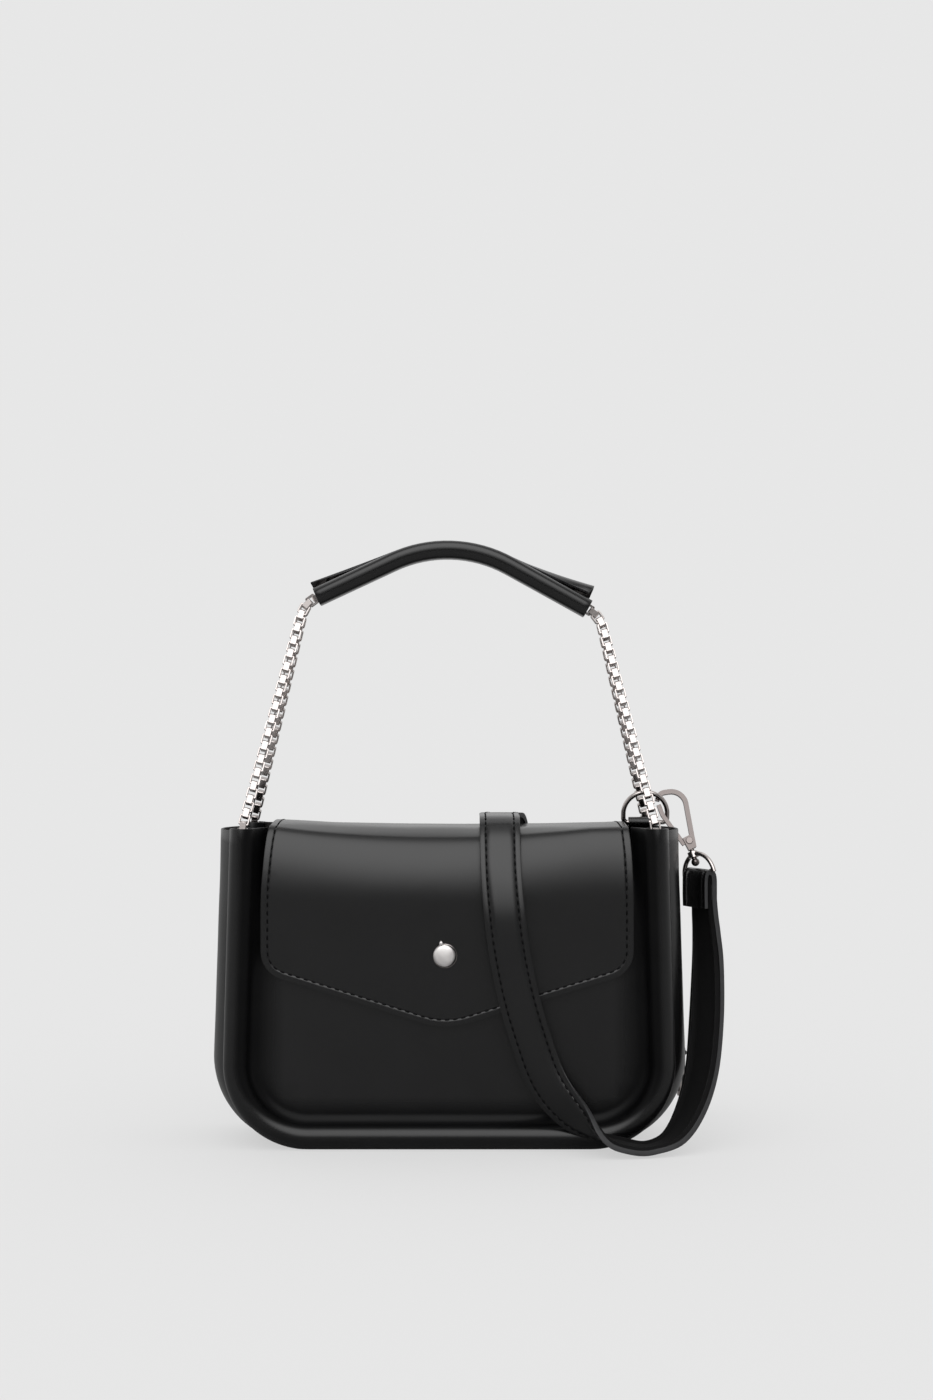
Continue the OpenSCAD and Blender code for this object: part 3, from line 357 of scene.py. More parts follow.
# %% The panels with their rolled edges
RIM, ROLL_R, ROLL_Y = 157 * MM, 6.25 * MM, 29 * MM
TOP_X, ARC_R, ARC_Z = 101.4 * MM, 35.75 * MM, 41.6 * MM
LEAN = math.tan(math.radians(1.65))
ARC_X = TOP_X + LEAN * (RIM - ARC_Z) - ARC_R
PANEL_Y, PANEL_TOP, LEATHER = 27 * MM, 149.5 * MM, 1.5 * MM
GROOVE_R = 6 * MM
LEG_STEPS, CORNER_STEPS, BASE_STEPS = 14, 26, 9
CELL = 9 * MM
BELLY, BELLY_X, BELLY_LOW, BELLY_RISE = 0.5 * MM, 84 * MM, 14 * MM, 30 * MM
FLAP_TUCK, TUCK_FROM = 7 * MM, 112 * MM
groove_v = GROOVE_R - (ROLL_Y - PANEL_Y)
groove_u = -math.sqrt((ROLL_R + GROOVE_R) ** 2 - groove_v**2)
groove_end = math.degrees(math.asin(groove_v / (ROLL_R + GROOVE_R)))
groove_arc = arc((groove_u, groove_v), GROOVE_R, -90, -groove_end, 9)
roll_arc = arc((0, 0), ROLL_R, 180 - groove_end, -163, 46)[1:]


def u_sweep(bm, section):
    """Sweeps a section, given as (outward, along y) pairs, round the right half of the U."""
    edges = line_of_edges(bm, [(TOP_X + u, y, RIM) for u, y in section])
    edges = extruded(bm, edges, (LEAN * (RIM - PANEL_TOP), 0, PANEL_TOP - RIM))
    edges = extruded(bm, edges, (LEAN * (PANEL_TOP - ARC_Z), 0, ARC_Z - PANEL_TOP), LEG_STEPS)
    edges = spun(bm, edges, (ARC_X, 0, ARC_Z), (0, 1, 0), 90, CORNER_STEPS)
    extruded(bm, edges, (-ARC_X, 0, 0), BASE_STEPS)


def mirrored(bm):
    bmesh.ops.mirror(bm, geom=bm.verts[:] + bm.edges[:] + bm.faces[:], axis="X", merge_dist=1e-5)
    bmesh.ops.remove_doubles(bm, verts=bm.verts, dist=1e-6)


def gentle(x, z, seed, size):
    """A slow wave from -1 to 1 that bends broad surfaces."""
    return noise.noise(Vector((x / size, seed, z / size)))


def step_between(low, high, value):
    """Rises smoothly from 0 at low to 1 at high."""
    t = max(0.0, min(1.0, (value - low) / (high - low)))
    return t * t * (3 - 2 * t)


def from_roll(co):
    """How far a point lies outward of the roll's centre line."""
    x = abs(co.x)
    if co.z > ARC_Z:
        return x - TOP_X - LEAN * (RIM - co.z)
    if x > ARC_X:
        return math.hypot(x - ARC_X, co.z - ARC_Z) - ARC_R
    return ARC_Z - ARC_R - co.z


def coat_with_painted_shade(out, under):
    """The coat weight at a point that lies out from the roll's centre line: low in the crease
    beside the roll and on its underside, as painted shade.
    """
    roll = step_between(-1.8 * MM - 5.4 * MM * under, 2.2 * MM - 7.6 * MM * under, out)
    middle = step_between(-10.5 * MM, -17 * MM, out)
    return 0.1 + 0.9 * max(roll * (1 - 0.3 * under), middle)


def make_panel(name, side):
    """The front panel has side -1, the back one 1."""
    bm = bmesh.new()
    polish_and_shade = bm.verts.layers.float.new("polish_and_shade")
    u_sweep(bm, [(u, side * (ROLL_Y + v)) for u, v in groove_arc + roll_arc])
    mirrored(bm)
    rim = [v for v in bm.verts if abs(abs(v.co.y) - PANEL_Y) < 1e-6 and v.is_boundary
           and v.co.z < PANEL_TOP + 1e-6]
    corners = sorted([v for v in rim if v.co.z > PANEL_TOP - 1e-6], key=lambda v: v.co.x)
    top = bm.edges.new(corners)
    loop = [top] + [e for e in bm.edges if e.is_boundary and all(v in rim for v in e.verts)]
    bmesh.ops.edgeloop_fill(bm, edges=list(dict.fromkeys(loop)))

    def on_panel(face):
        return all(abs(abs(v.co.y) - PANEL_Y) < 1e-6 for v in face.verts)

    cut_across(bm, 0, [i * CELL for i in range(-9, 10)], on_panel)
    cut_across(bm, 2, [16 * MM + i * CELL for i in range(15)], on_panel)
    for v in bm.verts:
        if abs(abs(v.co.y) - PANEL_Y) < 1e-6:
            inside = max(0.0, 1 - (abs(v.co.x) / BELLY_X) ** 4) * max(
                0.0, min(1.0, (v.co.z - BELLY_LOW) / BELLY_RISE))
            v.co.y += side * inside * BELLY * (1 + 0.5 * gentle(v.co.x, v.co.z, side, 45 * MM)) * (
                0.25 if side < 0 else 1)
        out = from_roll(v.co)
        under = max(0.0, min(1.0, (ARC_Z - v.co.z) / ARC_R)) ** 2
        # Painted shade: the coat thins in the crease beside the roll and under it.
        v[polish_and_shade] = coat_with_painted_shade(out, under)
        if side < 0:
            behind_flap = step_between(-5 * MM, -12 * MM, out) * max(
                0.0, (v.co.z - TUCK_FROM) / (PANEL_TOP - TUCK_FROM)) ** 2
            v.co.y += FLAP_TUCK * behind_flap
        v.co.z = max(v.co.z, 0)
    face_out(bm, lambda b: side * sum(
        f.normal.y * f.calc_area() for f in b.faces if on_middle(f)) > 0)
    panel = finish_mesh(name, bm, rolled_shaded, edge_paint, lining)
    thicken(panel, LEATHER, inside=2, rim=1)
    return panel


def on_middle(face):
    centre = face.calc_center_median()
    return abs(centre.x) < 60 * MM and 30 * MM < centre.z < 140 * MM


front_panel = at_rest(make_panel("front_panel_leather", -1), "bag", "front_panel")
back_panel = at_rest(make_panel("back_panel_leather", 1), "bag", "back_panel")
print("panel faces:", len(front_panel.data.polygons))

# %% [markdown]
# The gusset is the narrow side of the bag. It is sewn to the backs of both
# rolls and swells outward between them. Its base stands on the floor with the
# rolls. The section is swept like the panels', and then each point moves out
# by an arch that fades towards the bottom.

# %% Gusset
GUSSET_Y, GUSSET_U, GUSSET_SWELL, GUSSET_SAG = 22.75 * MM, 3 * MM, 10.5 * MM, 2.85 * MM
GUSSET_CUT = 1.6 * MM


def make_gusset():
    bm = bmesh.new()
    u_sweep(bm, [(GUSSET_U, GUSSET_Y * (2 * i / 20 - 1)) for i in range(21)])
    for v in bm.verts:
        across, down = 1.0, 0.0
        if v.co.z < ARC_Z:
            away = Vector((v.co.x - ARC_X, v.co.z - ARC_Z)) if v.co.x > ARC_X else Vector((0, -1))
            across, down = away.normalized()
            down = max(0, -down)
        from_seam = 1 - abs(v.co.y / GUSSET_Y)
        lift = GUSSET_SWELL * abs(across) * (1 - abs(v.co.y / GUSSET_Y) ** 2.5)
        lift += GUSSET_SAG * down**2
        lift += 0.5 * MM * gentle(v.co.y * 2, v.co.z, 4, 30 * MM) * abs(across) * from_seam
        v.co.x += across * lift
        v.co.z = max(v.co.z - down * lift, 0)
        v.co.z -= GUSSET_CUT * max(0, (v.co.z - PANEL_TOP) / (RIM - PANEL_TOP))
    mirrored(bm)
    face_out(bm, lambda b: sum(f.normal.z * f.calc_area() for f in b.faces) < 0)
    gusset = finish_mesh("gusset_leather", bm, polished, edge_paint, lining)
    return thicken(gusset, LEATHER, inside=2, rim=1)


gusset = at_rest(make_gusset(), "bag", "gusset")
print("gusset faces:", len(gusset.data.polygons))

# %% [markdown]
# The lining is an open pouch of thin matte leather inside the gusset. Its walls
# hang in slack waves that grow towards the mouth, since nothing pulls it tight.

# %% Lining
POUCH_Y, POUCH_TOP, POUCH_U = 22.2 * MM, 132 * MM, 0.6 * MM


def make_lining():
    bm = bmesh.new()
    corner_r = ARC_R + POUCH_U
    angles = [math.radians(90 * i / 12) for i in range(13)]
    corners = [(s * (ARC_X + corner_r * math.cos(a)), ARC_Z - corner_r * math.sin(a))
               for s in (1, -1) for a in angles[::s]]
    top_x = TOP_X + LEAN * (RIM - POUCH_TOP) + POUCH_U
    outline = [(top_x, POUCH_TOP), *corners, (-top_x, POUCH_TOP)]
    face = bm.faces.new([bm.verts.new((x, -POUCH_Y, z)) for x, z in outline])
    made = bmesh.ops.extrude_face_region(bm, geom=[face])["geom"]
    bmesh.ops.translate(bm, verts=only(bmesh.types.BMVert, made), vec=(0, 2 * POUCH_Y, 0))
    lid = [f for f in bm.faces if all(abs(v.co.z - POUCH_TOP) < 1e-6 for v in f.verts)]
    bmesh.ops.delete(bm, geom=lid, context="FACES")
    cut_across(bm, 2, [(14 + 8 * i) * MM for i in range(15)])
    cut_across(bm, 0, [i * 9 * MM for i in range(-10, 11)])
    cut_across(bm, 1, [i * 7.4 * MM for i in range(-2, 3)])
    for v in bm.verts:
        slack = 1.2 * MM * gentle(v.co.x + v.co.y, v.co.z, 9, 24 * MM) * max(0, v.co.z / POUCH_TOP)
        v.co.y -= math.copysign(0.5 * MM + abs(slack), v.co.y) if abs(v.co.y) > 20 * MM else 0
        v.co.x -= math.copysign(0.4 * MM + abs(slack), v.co.x) if abs(v.co.x) > 90 * MM else 0
    face_out(bm, lambda b: sum(f.normal.z * f.calc_area() for f in b.faces) < 0)
    pouch = finish_mesh("lining_pouch", bm, lining)
    return thicken(pouch, 0.6 * MM, round_off=0)


pouch = at_rest(make_lining(), "bag", "lining")
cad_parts["base_board"].data.materials.clear()
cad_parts["base_board"].data.materials.append(board)
print("lining faces:", len(pouch.data.polygons))

# %% [markdown]
# The flap is one piece of leather from its root on the back panel, over the
# top, to the point at the front. It is cut flat first, as a bag maker would
# cut it: a face with the real outline, inset for the painted edge and for the
# row of stitches. Then cuts are added across it and every point moves to its
# place on the bent path. Stitches press a shallow groove, so one inset loop is
# pushed in, and the loops beside it keep the leather around it flat.

# %% The flap's path and outline
FLAP_OUT, FLAP_TOP, FLAP_BACK = 30.4 * MM, 156.4 * MM, 29.3 * MM
FOLD_Y, SOFT_FOLD_Y, FOLD_Z = 11 * MM, 24 * MM, 40 * MM
BACK_R, BACK_STEPS, ROOT_Z = 4 * MM, 8, 109.5 * MM
FLAP_T, SEAM_IN = 2.2 * MM, 3.3 * MM


def walk(points):
    """Distances along a polyline from its first point."""
    total, out = 0.0, [0.0]
    for a, b in zip(points, points[1:]):
        total += (Vector(b) - Vector(a)).length
        out.append(total)
    return out


flap_path = ([(FLAP_BACK, ROOT_Z)]
             + arc((FLAP_BACK - BACK_R, FLAP_TOP - BACK_R), BACK_R, 0, 90, BACK_STEPS)
             + [(-FLAP_OUT + FOLD_Y * (1 - math.sin(math.radians(6 * i))),
                 FLAP_TOP - FOLD_Z * (1 - math.cos(math.radians(6 * i)))) for i in range(16)]
             + [(-FLAP_OUT, 50 * MM)])
flap_reach = walk(flap_path)
TOP_START, FOLD_START = flap_reach[BACK_STEPS + 1:BACK_STEPS + 3]
FOLD_END = flap_reach[-2]


def on_flap(s):
    """The place (y, z) and the outward direction at distance s along the flap."""
    i = next((k for k in range(1, len(flap_reach)) if flap_reach[k] >= s), len(flap_reach) - 1)
    a, b = Vector(flap_path[i - 1]), Vector(flap_path[i])
    t = (s - flap_reach[i - 1]) / (flap_reach[i] - flap_reach[i - 1])
    along = (b - a).normalized()
    return a.lerp(b, t), Vector((along.y, -along.x))


def rounded(corners, steps=6):
    """A flat outline whose corners, given as (x, y, radius), are rounded off."""
    out = []
    for k, (x, y, r) in enumerate(corners):
        p = Vector((x, y))
        a = (Vector(corners[k - 1][:2]) - p).normalized()
        b = (Vector(corners[(k + 1) % len(corners)][:2]) - p).normalized()
        half = a.angle(b) / 2
        centre = p + (a + b).normalized() * r / math.sin(half)
        start, end = p + a * r / math.tan(half) - centre, p + b * r / math.tan(half) - centre
        turn = start.angle_signed(end)
        for i in range(steps + 1):
            c, s = math.cos(-turn * i / steps), math.sin(-turn * i / steps)
            out.append((centre.x + start.x * c - start.y * s,
                        centre.y + start.x * s + start.y * c))
    return out


def front_s(z):
    """Distance along the flap of a height on its front."""
    return FOLD_END + (FLAP_TOP - FOLD_Z - z)


# Each side widens over the fold: places across, at these distances past its start.
down_fold = (-2, 8, 15, 23, 32, 41)
flap_left = (-88.5, -90, -90.8, -91.5, -92.2, -92.4)
flap_right = (88.2, 89, 89.6, 90, 90.3, 90.4)
left_side, right_side = [
    [(x * MM, FOLD_START + s * MM, 10 * MM) for x, s in zip(side, down_fold)]
    for side in (flap_left, flap_right)]
corner_s, tip_s = front_s(86.5 * MM), front_s(58 * MM)
flap_outline = rounded([
    (-86.5 * MM, 0, 12 * MM), (86.5 * MM, 0, 12 * MM), *right_side,
    (90.4 * MM, corner_s, 14 * MM), (-2 * MM, tip_s, 40 * MM), (-92.4 * MM, corner_s, 14 * MM),
    *left_side[::-1]])
print("flap is", round(max(p[1] for p in flap_outline) / MM), "mm long before bending")

# %% [markdown]
# Leather that stays folded relaxes. The front fold is tight at its ends and
# softer in the middle, and the top sags there. Both are worked out for a point
# of the flat piece, so that the stitches can follow the same rule.

# %% The flap's mesh
# Border widths in mm from the edge inward. The loop after the fourth is pressed in.
BORDERS, PRESSED_LOOP, GROOVE_DEPTH = (0.7, 1.5, 0.6, 0.5, 0.5, 0.6), 3, 0.3 * MM


def fold_drop(y, reach):
    """How far a fold that reaches back from the front has dropped at y."""
    u = max(0.0, min(1.0, (reach - FLAP_OUT - y) / reach))
    return FOLD_Z * (1 - math.sqrt(1 - u * u))


def flap_point(x, s):
    """Where a flat point of the flap lies once it is bent, with its outward direction.

    The middle of the top sags between the stiffer ends, and its fold is softer
    there, so the line where the light changes curves down like a smile.
    """
    place, out = on_flap(s)
    aside = x / (86 * MM)
    over_top = math.exp(-((s - (TOP_START + FOLD_START) / 2) / (26 * MM)) ** 2)
    rise = over_top * MM * (2.7 - 2.9 * max(0.0, 1 - aside**2) - 0.6 * aside)
    rise += over_top * MM * 0.5 * gentle(x, s, 3, 30 * MM)
    softer = 0.6 * max(0.0, 1 - ((x + 10 * MM) / (78 * MM)) ** 2)
    rise -= softer * (fold_drop(place.x, SOFT_FOLD_Y) - fold_drop(place.x, FOLD_Y))
    front = max(0.0, min(1.0, (s - FOLD_END) / (40 * MM)))
    bulge = front * 0.25 * MM * (1 + gentle(x, s, 7, 50 * MM))
    return Vector((x, place.x - bulge, place.y + rise)), Vector((0, out.x, out.y))


def flat_face(bm, outline):
    face = bm.faces.new([bm.verts.new((x, y, 0)) for x, y in outline])
    face.normal_update()
    return face


def inset(bm, face, width):
    """Shrinks a face, leaving a border, and returns the places of its new corners."""
    bmesh.ops.inset_region(bm, faces=[face], thickness=width, depth=0, use_even_offset=True,
                           use_boundary=True)
    return [v.co.copy() for v in face.verts]


def make_flap():
    bm = bmesh.new()
    groove = bm.verts.layers.float.new("groove")
    face = flat_face(bm, flap_outline)
    pressed = [inset(bm, face, width * MM) for width in BORDERS][PRESSED_LOOP]
    for v in bm.verts:
        v[groove] = 1.0 if min((v.co - co).length for co in pressed) < 1e-6 else 0.0
    root_cuts = [6 * MM * k for k in range(1, 7)]
    top_cuts = [TOP_START + (FOLD_START - TOP_START) * k / 7 for k in range(1, 7)]
    front_cuts = [FOLD_END + 6.5 * MM * k for k in range(1, 13)]
    cut_across(bm, 1, flap_reach[1:-1] + front_cuts + root_cuts + top_cuts)
    cut_across(bm, 0, [x * MM for x in range(-84, 85, 7)])
    for v in bm.verts:
        v.co, out = flap_point(v.co.x, v.co.y)
        v.co -= out * (GROOVE_DEPTH * v[groove])
    face_out(bm, lambda b: sum(f.normal.z * f.calc_area() for f in b.faces) > 0)
    flap = finish_mesh("flap_leather", bm, polished, lining, edge_paint, smooth=60)
    return thicken(flap, FLAP_T, inside=1, rim=2, round_off=0.5 * MM, painted=True)


flap = make_flap()
print("flap faces:", len(flap.data.polygons))

# %% [markdown]
# Stitches are short fat threads, laid in a row with a small gap. Each is a
# stretched sphere of a few faces, turned along the seam and pressed into its
# groove. On the flap they follow the sunken loop, one every 4 mm.

# %% Stitches
def lay_stitches(name, places, length, width):
    """places holds (centre, along, out) for each stitch."""
    bm = bmesh.new()
    size = Matrix.Diagonal((length / 2, width / 2, width * 0.36, 1))
    lying = Matrix.Rotation(math.radians(90), 4, "Y")
    for centre, along, out in places:
        along = along.normalized()
        out = (out - along * out.dot(along)).normalized()
        turn = Matrix((along, along.cross(out), out)).transposed().to_4x4()
        bmesh.ops.create_uvsphere(bm, u_segments=8, v_segments=5, radius=1,
                                  matrix=Matrix.Translation(centre) @ turn @ size @ lying)
    return finish_mesh(name, bm, thread, smooth=80)


def every(points, pitch, closed=False):
    """Points at an even pitch along a polyline, each with its direction."""
    if closed:
        points = points + points[:1]
    reach = walk(points)
    count = max(1, round(reach[-1] / pitch))
    out, k = [], 1
    for i in range(count):
        s = reach[-1] * (i + 0.5) / count
        while reach[k] < s:
            k += 1
        a, b = Vector(points[k - 1]), Vector(points[k])
        t = (s - reach[k - 1]) / (reach[k] - reach[k - 1])
        out.append((a.lerp(b, t), (b - a).normalized()))
    return out


bm = bmesh.new()
seam_line = [tuple(co.xy) for co in inset(bm, flat_face(bm, flap_outline), SEAM_IN)]
bm.free()
seam = every(seam_line, 4 * MM, closed=True)
places = []
for point, along in seam:
    here, out = flap_point(point.x, point.y)
    ahead, _ = flap_point(point.x + along.x * MM, point.y + along.y * MM)
    places.append((here - out * 0.12 * MM, ahead - here, out))
flap_stitches = lay_stitches("flap_stitches", places, 2.4 * MM, 0.95 * MM)
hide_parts("flap", "flap_lining", "flap_root")
for piece in (flap, flap_stitches):
    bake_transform(piece)
print("stitches on the flap:", len(seam))

# %% [markdown]
# The strap is one long band. Its shiny face is outside, its matte side shows
# where it twists. It starts as a flat grid whose columns include the two seams,
# and each column moves to its place across the band. The route goes where the
# CAD strap's does, with a smooth curve through its points.

# %% The strap's route
STRAP_T = 2.6 * MM
PAIR_X, PAIR_Y, PAIR_Z = 107.65, 35.25, 157
# Each row is a place as shares of half the pair's width, half its depth and its
# height, and then the direction across the band there.
front_route = [
    (0.232, 0.227, 1.026, 1, 0, 0), (0.232, -0.34, 1.026, 1, 0, 0),
    (0.232, -0.54, 1.012, 1, 0, 0), (0.232, -0.7, 0.978, 1, 0, 0),
    (0.233, -0.82, 0.932, 1, 0, 0), (0.235, -0.915, 0.882, 1, 0, 0),
    (0.24, -0.995, 0.822, 1, 0, 0.04), (0.25, -1.061, 0.745, 1, 0, 0.08),
    (0.264, -1.089, 0.662, 1, 0, 0.13), (0.286, -1.095, 0.573, 0.99, 0, 0.18),
    (0.315, -1.09, 0.48, 0.97, -0.02, 0.23), (0.362, -1.08, 0.369, 0.95, -0.05, 0.3),
    (0.437, -1.08, 0.229, 0.9, -0.2, 0.45), (0.54, -1.13, 0.134, 0.8, -0.5, 0.3),
    (0.68, -1.27, 0.057, 0.45, -0.88, -0.1), (0.785, -1.28, 0.029, 0.15, -0.98, -0.1),
    (0.9, -1.2, 0.0175, 0.05, -1, 0), (1.013, -1.05, 0.042, 0.35, -0.93, -0.05),
    (1.096, -0.823, 0.115, 0.6, -0.8, 0), (1.157, -0.567, 0.229, 0.7, -0.7, 0),
    (1.189, -0.284, 0.382, 0.75, -0.66, 0), (1.208, 0.057, 0.548, 0.66, -0.75, 0.02)]
back_route = [
    (0.232, 0.227, 1.026, 1, 0, 0), (0.232, 0.34, 1.026, 1, 0, 0),
    (0.233, 0.44, 1.026, 1, 0, 0), (0.244, 0.6, 1.026, 1, -0.05, 0),
    (0.266, 0.82, 1.018, 1, -0.1, 0), (0.283, 0.98, 0.985, 1, -0.08, 0.03),
    (0.297, 1.1, 0.92, 1, 0, 0.12), (0.32, 1.14, 0.82, 0.97, 0, 0.24),
    (0.39, 1.149, 0.67, 0.92, 0, 0.4), (0.51, 1.163, 0.5, 0.84, 0, 0.54),
    (0.687, 1.177, 0.35, 0.73, 0, 0.68), (0.873, 1.177, 0.242, 0.5, 0, 0.86),
    (0.994, 1.177, 0.191, 0.25, 0, 0.97), (1.073, 1.214, 0.169, 0.1, 0, 1),
    (1.113, 1.3, 0.159, 0, 0, 1)]
return_route = [
    (1.082, 1.39, 0.156, 0, 0, 1), (1.086, 1.518, 0.156, 0, 0, 1),
    (1.113, 1.674, 0.156, 0, 0, 1), (1.15, 1.85, 0.155, 0, 0, 1),
    (1.152, 2.043, 0.153, 0, 0, 1), (1.11, 2.27, 0.143, 0, 0, 1),
    (1.013, 2.369, 0.124, 0, 0.1, 1), (0.855, 2.355, 0.092, 0, 0.35, 0.93),
    (0.66, 2.298, 0.0605, 0, 0.65, 0.75), (0.446, 2.213, 0.032, 0, 0.92, 0.4),
    (0.223, 2.128, 0.014, 0, 1, 0.1), (0, 2.057, 0.0102, 0, 1, 0),
    (-0.23, 2.0, 0.0102, 0, 1, 0)]


def placed(x, y, z):
    return Vector((x * PAIR_X, y * PAIR_Y, z * PAIR_Z)) * MM


def in_metres(route):
    return [(placed(x, y, z), Vector((a, b, c))) for x, y, z, a, b, c in route]


def smooth_route(rows, steps):
    """A Catmull-Rom curve through the rows: (place, across) pairs."""
    out = []
    for i in range(len(rows) - 1):
        a, b, c, d = rows[max(i - 1, 0)], rows[i], rows[i + 1], rows[min(i + 2, len(rows) - 1)]
        for k in range(steps):
            t = k / steps
            out.append(tuple(
                0.5 * (2 * b[j] + t * (c[j] - a[j])
                       + t * t * (2 * a[j] - 5 * b[j] + 4 * c[j] - d[j])
                       + t**3 * (3 * b[j] - a[j] - 3 * c[j] + d[j])) for j in (0, 1)))
    return out + [rows[-1]]


def framed_route(line, side):
    """Rows of a place and its along, across and outward directions."""
    out = []
    for i, (place, across) in enumerate(line):
        along = (line[min(i + 1, len(line) - 1)][0] - line[max(i - 1, 0)][0]).normalized()
        across = (across - along * across.dot(along)).normalized()
        out.append((place, along, across, across.cross(along) * side))
    return out


# %% [markdown]
# The strap ends in metal loops. The right one hangs at a slant, so the rows near
# it are worked out from where the hook holds it.

# %% Where the loops are
HOOK_L, LOOP_R = 28.2 * MM, 11.45 * MM
lean, slant = math.radians(16), math.radians(15)
post = Vector((-math.sin(slant), math.cos(slant) * math.sin(lean),
               math.cos(slant) * math.cos(lean)))
loop_right = placed(1.133, 0.352, 0.943) - post * (0.26 * HOOK_L + LOOP_R)
loop_left = placed(-0.576, 1.95, 2.75 / PAIR_Z)
hang_across = Vector((0.47, -0.88, 0)).normalized()
hang_out = Vector((0.88, 0.47, 0)).normalized()
# Rows that hang from the loop: millimetres down, out and forward, and the twist.
hanging = ((29, 3.6, -2.3, 0.12), (19, 3.0, -0.5, 0.05), (11.3, 2.7, 0, 0))
front_rows = in_metres(front_route) + [
    (loop_right + hang_out * out * MM + Vector((0, y, -down)) * MM,
     (hang_across + Vector((twist, 0, 0))).normalized()) for down, out, y, twist in hanging]
# The end goes up, over the loop's bar and down again: millimetres out and up.
over_bar = ((2.7, -11.3), (2.7, -6), (2.6, -1), (1.85, 1.85), (0, 2.7),
            (-1.85, 1.85), (-2.6, -1), (-2.7, -6), (-2.7, -10.5), (-2.5, -15.6))
end_rows = [(loop_right + hang_out * out * MM + Vector((0, 0, up * MM)), hang_across)
            for out, up in over_bar]
return_rows = in_metres(return_route) + [
    (loop_left + Vector((d * MM, 0, 0)), Vector((0, 1, 0))) for d in (22.3, 11.3)]
print("the right loop's bar is at", [round(c / MM, 1) for c in loop_right], "mm")

# %% [markdown]
# The band's edges are pressed thinner than its middle, and both seams lie in
# fine grooves. The columns stand close together there, to hold those forms.

# %% The strap's mesh and its stitches
EDGE, SEAM = 10, 7
half_band = [4, 6.65, SEAM, 7.35, 8.2, 9.6, EDGE]
columns = [-w for w in half_band[::-1]] + [0] + half_band


def make_band(name, rows, steps, side=1):
    """A band along the rows. Its outside is on the side's side of them."""
    line = framed_route(smooth_route(rows, steps), side)
    bm = bmesh.new()
    row = bm.verts.layers.int.new("row")
    bmesh.ops.create_grid(bm, x_segments=len(line) - 1, y_segments=len(columns) - 1, size=1)
    for v in bm.verts:
        i = round((v.co.x + 1) / 2 * (len(line) - 1))
        w = columns[round((v.co.y + 1) / 2 * (len(columns) - 1))]
        v[row] = i
        place, _, across, out = line[i]
        crown = 0.15 * (1 - (w / EDGE) ** 2) - {SEAM: 0.32, EDGE: 0.12}.get(abs(w), 0)
        v.co = place + across * w * MM + out * (STRAP_T / 2 + crown * MM - 0.15 * MM)
    face_out(bm, lambda b: sum(f.normal.dot(line[f.verts[0][row]][3]) for f in b.faces) > 0)
    band = finish_mesh(name, bm, polished, matte, edge_paint, smooth=60)
    thicken(band, STRAP_T - 0.1 * MM, inside=1, rim=2, round_off=0.4 * MM, painted=True)
    places = []
    for w in (-SEAM, SEAM):
        track = [p + a * w * MM + o * (STRAP_T / 2 - 0.12 * MM) for p, _, a, o in line]
        reach, outs = walk(track), [o for _, _, _, o in line]
        for point, along in every(track, 3.9 * MM):
            k = min(range(len(track)), key=lambda n: (track[n] - point).length)
            places.append((point, along, outs[k]))
    return band, lay_stitches(name + "_stitches", places, 2.5 * MM, 0.95 * MM), line


strap_front, strap_front_stitches, front_line = make_band("strap_front_leather", front_rows, 7, -1)
strap_end, end_stitches, _ = make_band("strap_end_right_leather", end_rows, 5, -1)
bpy.data.objects.remove(end_stitches)
strap_back, strap_back_stitches, back_line = make_band(
    "strap_back_leather", in_metres(back_route), 7)
strap_return, strap_return_stitches, return_line = make_band(
    "strap_return_leather", return_rows, 7)
at_rest(strap_end, "bag", "strap_end_right")
for piece, node in ((strap_front, "strap_front"), (strap_back, "strap_back"),
                    (strap_return, "strap_return")):
    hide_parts(node)
for piece in (strap_return, strap_return_stitches):
    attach(piece, "bag")
for piece in (strap_front, strap_front_stitches):
    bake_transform(piece)
for piece in (strap_back, strap_back_stitches):
    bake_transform(piece)
lengths = [walk([p for p, *_ in line])[-1] for line in (front_line, back_line, return_line)]
print("strap length:", round(sum(lengths), 3), "m")

# %% [markdown]
# The handle is a sheet of leather folded round both chains, closed along its
# top. Towards the ends the seam opens: the near lip stays low and the far one
# stands up, and on the right it curls over. A grid is bent into that tube,
# column by column, with the section changing along its length. The sections
# are drawn in units of the wrap's radius, as pairs along y and upward.

# %% Handle wrap
WRAP_R, BEND_R, LEFT_ARM, RIGHT_ARM = 4.6 * MM, 65 * MM, 75 * MM, 78 * MM
LIP_CUT = 3.7 * MM
PEAK = Vector((1.2, 303.4)) * MM
left_drop, right_drop = math.radians(25), math.radians(28.8)
LEFT_DIR = Vector((-math.cos(left_drop), -math.sin(left_drop)))
RIGHT_DIR = Vector((math.cos(right_drop), -math.sin(right_drop)))
closed_section = [
    (-0.03, 1), (-0.75, 1), (-1.35, 0.9), (-1.72, 0.4), (-1.72, -0.4), (-1.35, -0.9), (-0.75, -1),
    (0.75, -1), (1.35, -0.9), (1.72, -0.4), (1.72, 0.4), (1.35, 0.9), (0.75, 1), (0.03, 1)]
open_section = [
    (-0.9, 1.02), (-1.15, 0.98), (-1.5, 0.74), (-1.75, 0.35), (-1.75, -0.35), (-1.4, -0.88),
    (-0.75, -1), (0.75, -1), (1.4, -0.88), (1.78, -0.35), (1.85, 0.35), (1.8, 1.0), (1.7, 1.5),
    (1.6, 1.95)]
curled_section = [
    (-1.0, 1.02), (-1.2, 0.97), (-1.5, 0.74), (-1.75, 0.35), (-1.75, -0.35), (-1.4, -0.88),
    (-0.75, -1), (0.9, -1), (1.75, -0.6), (2.0, 0.6), (1.75, 1.8), (0.9, 2.6), (-0.15, 2.35),
    (-0.6, 1.65)]


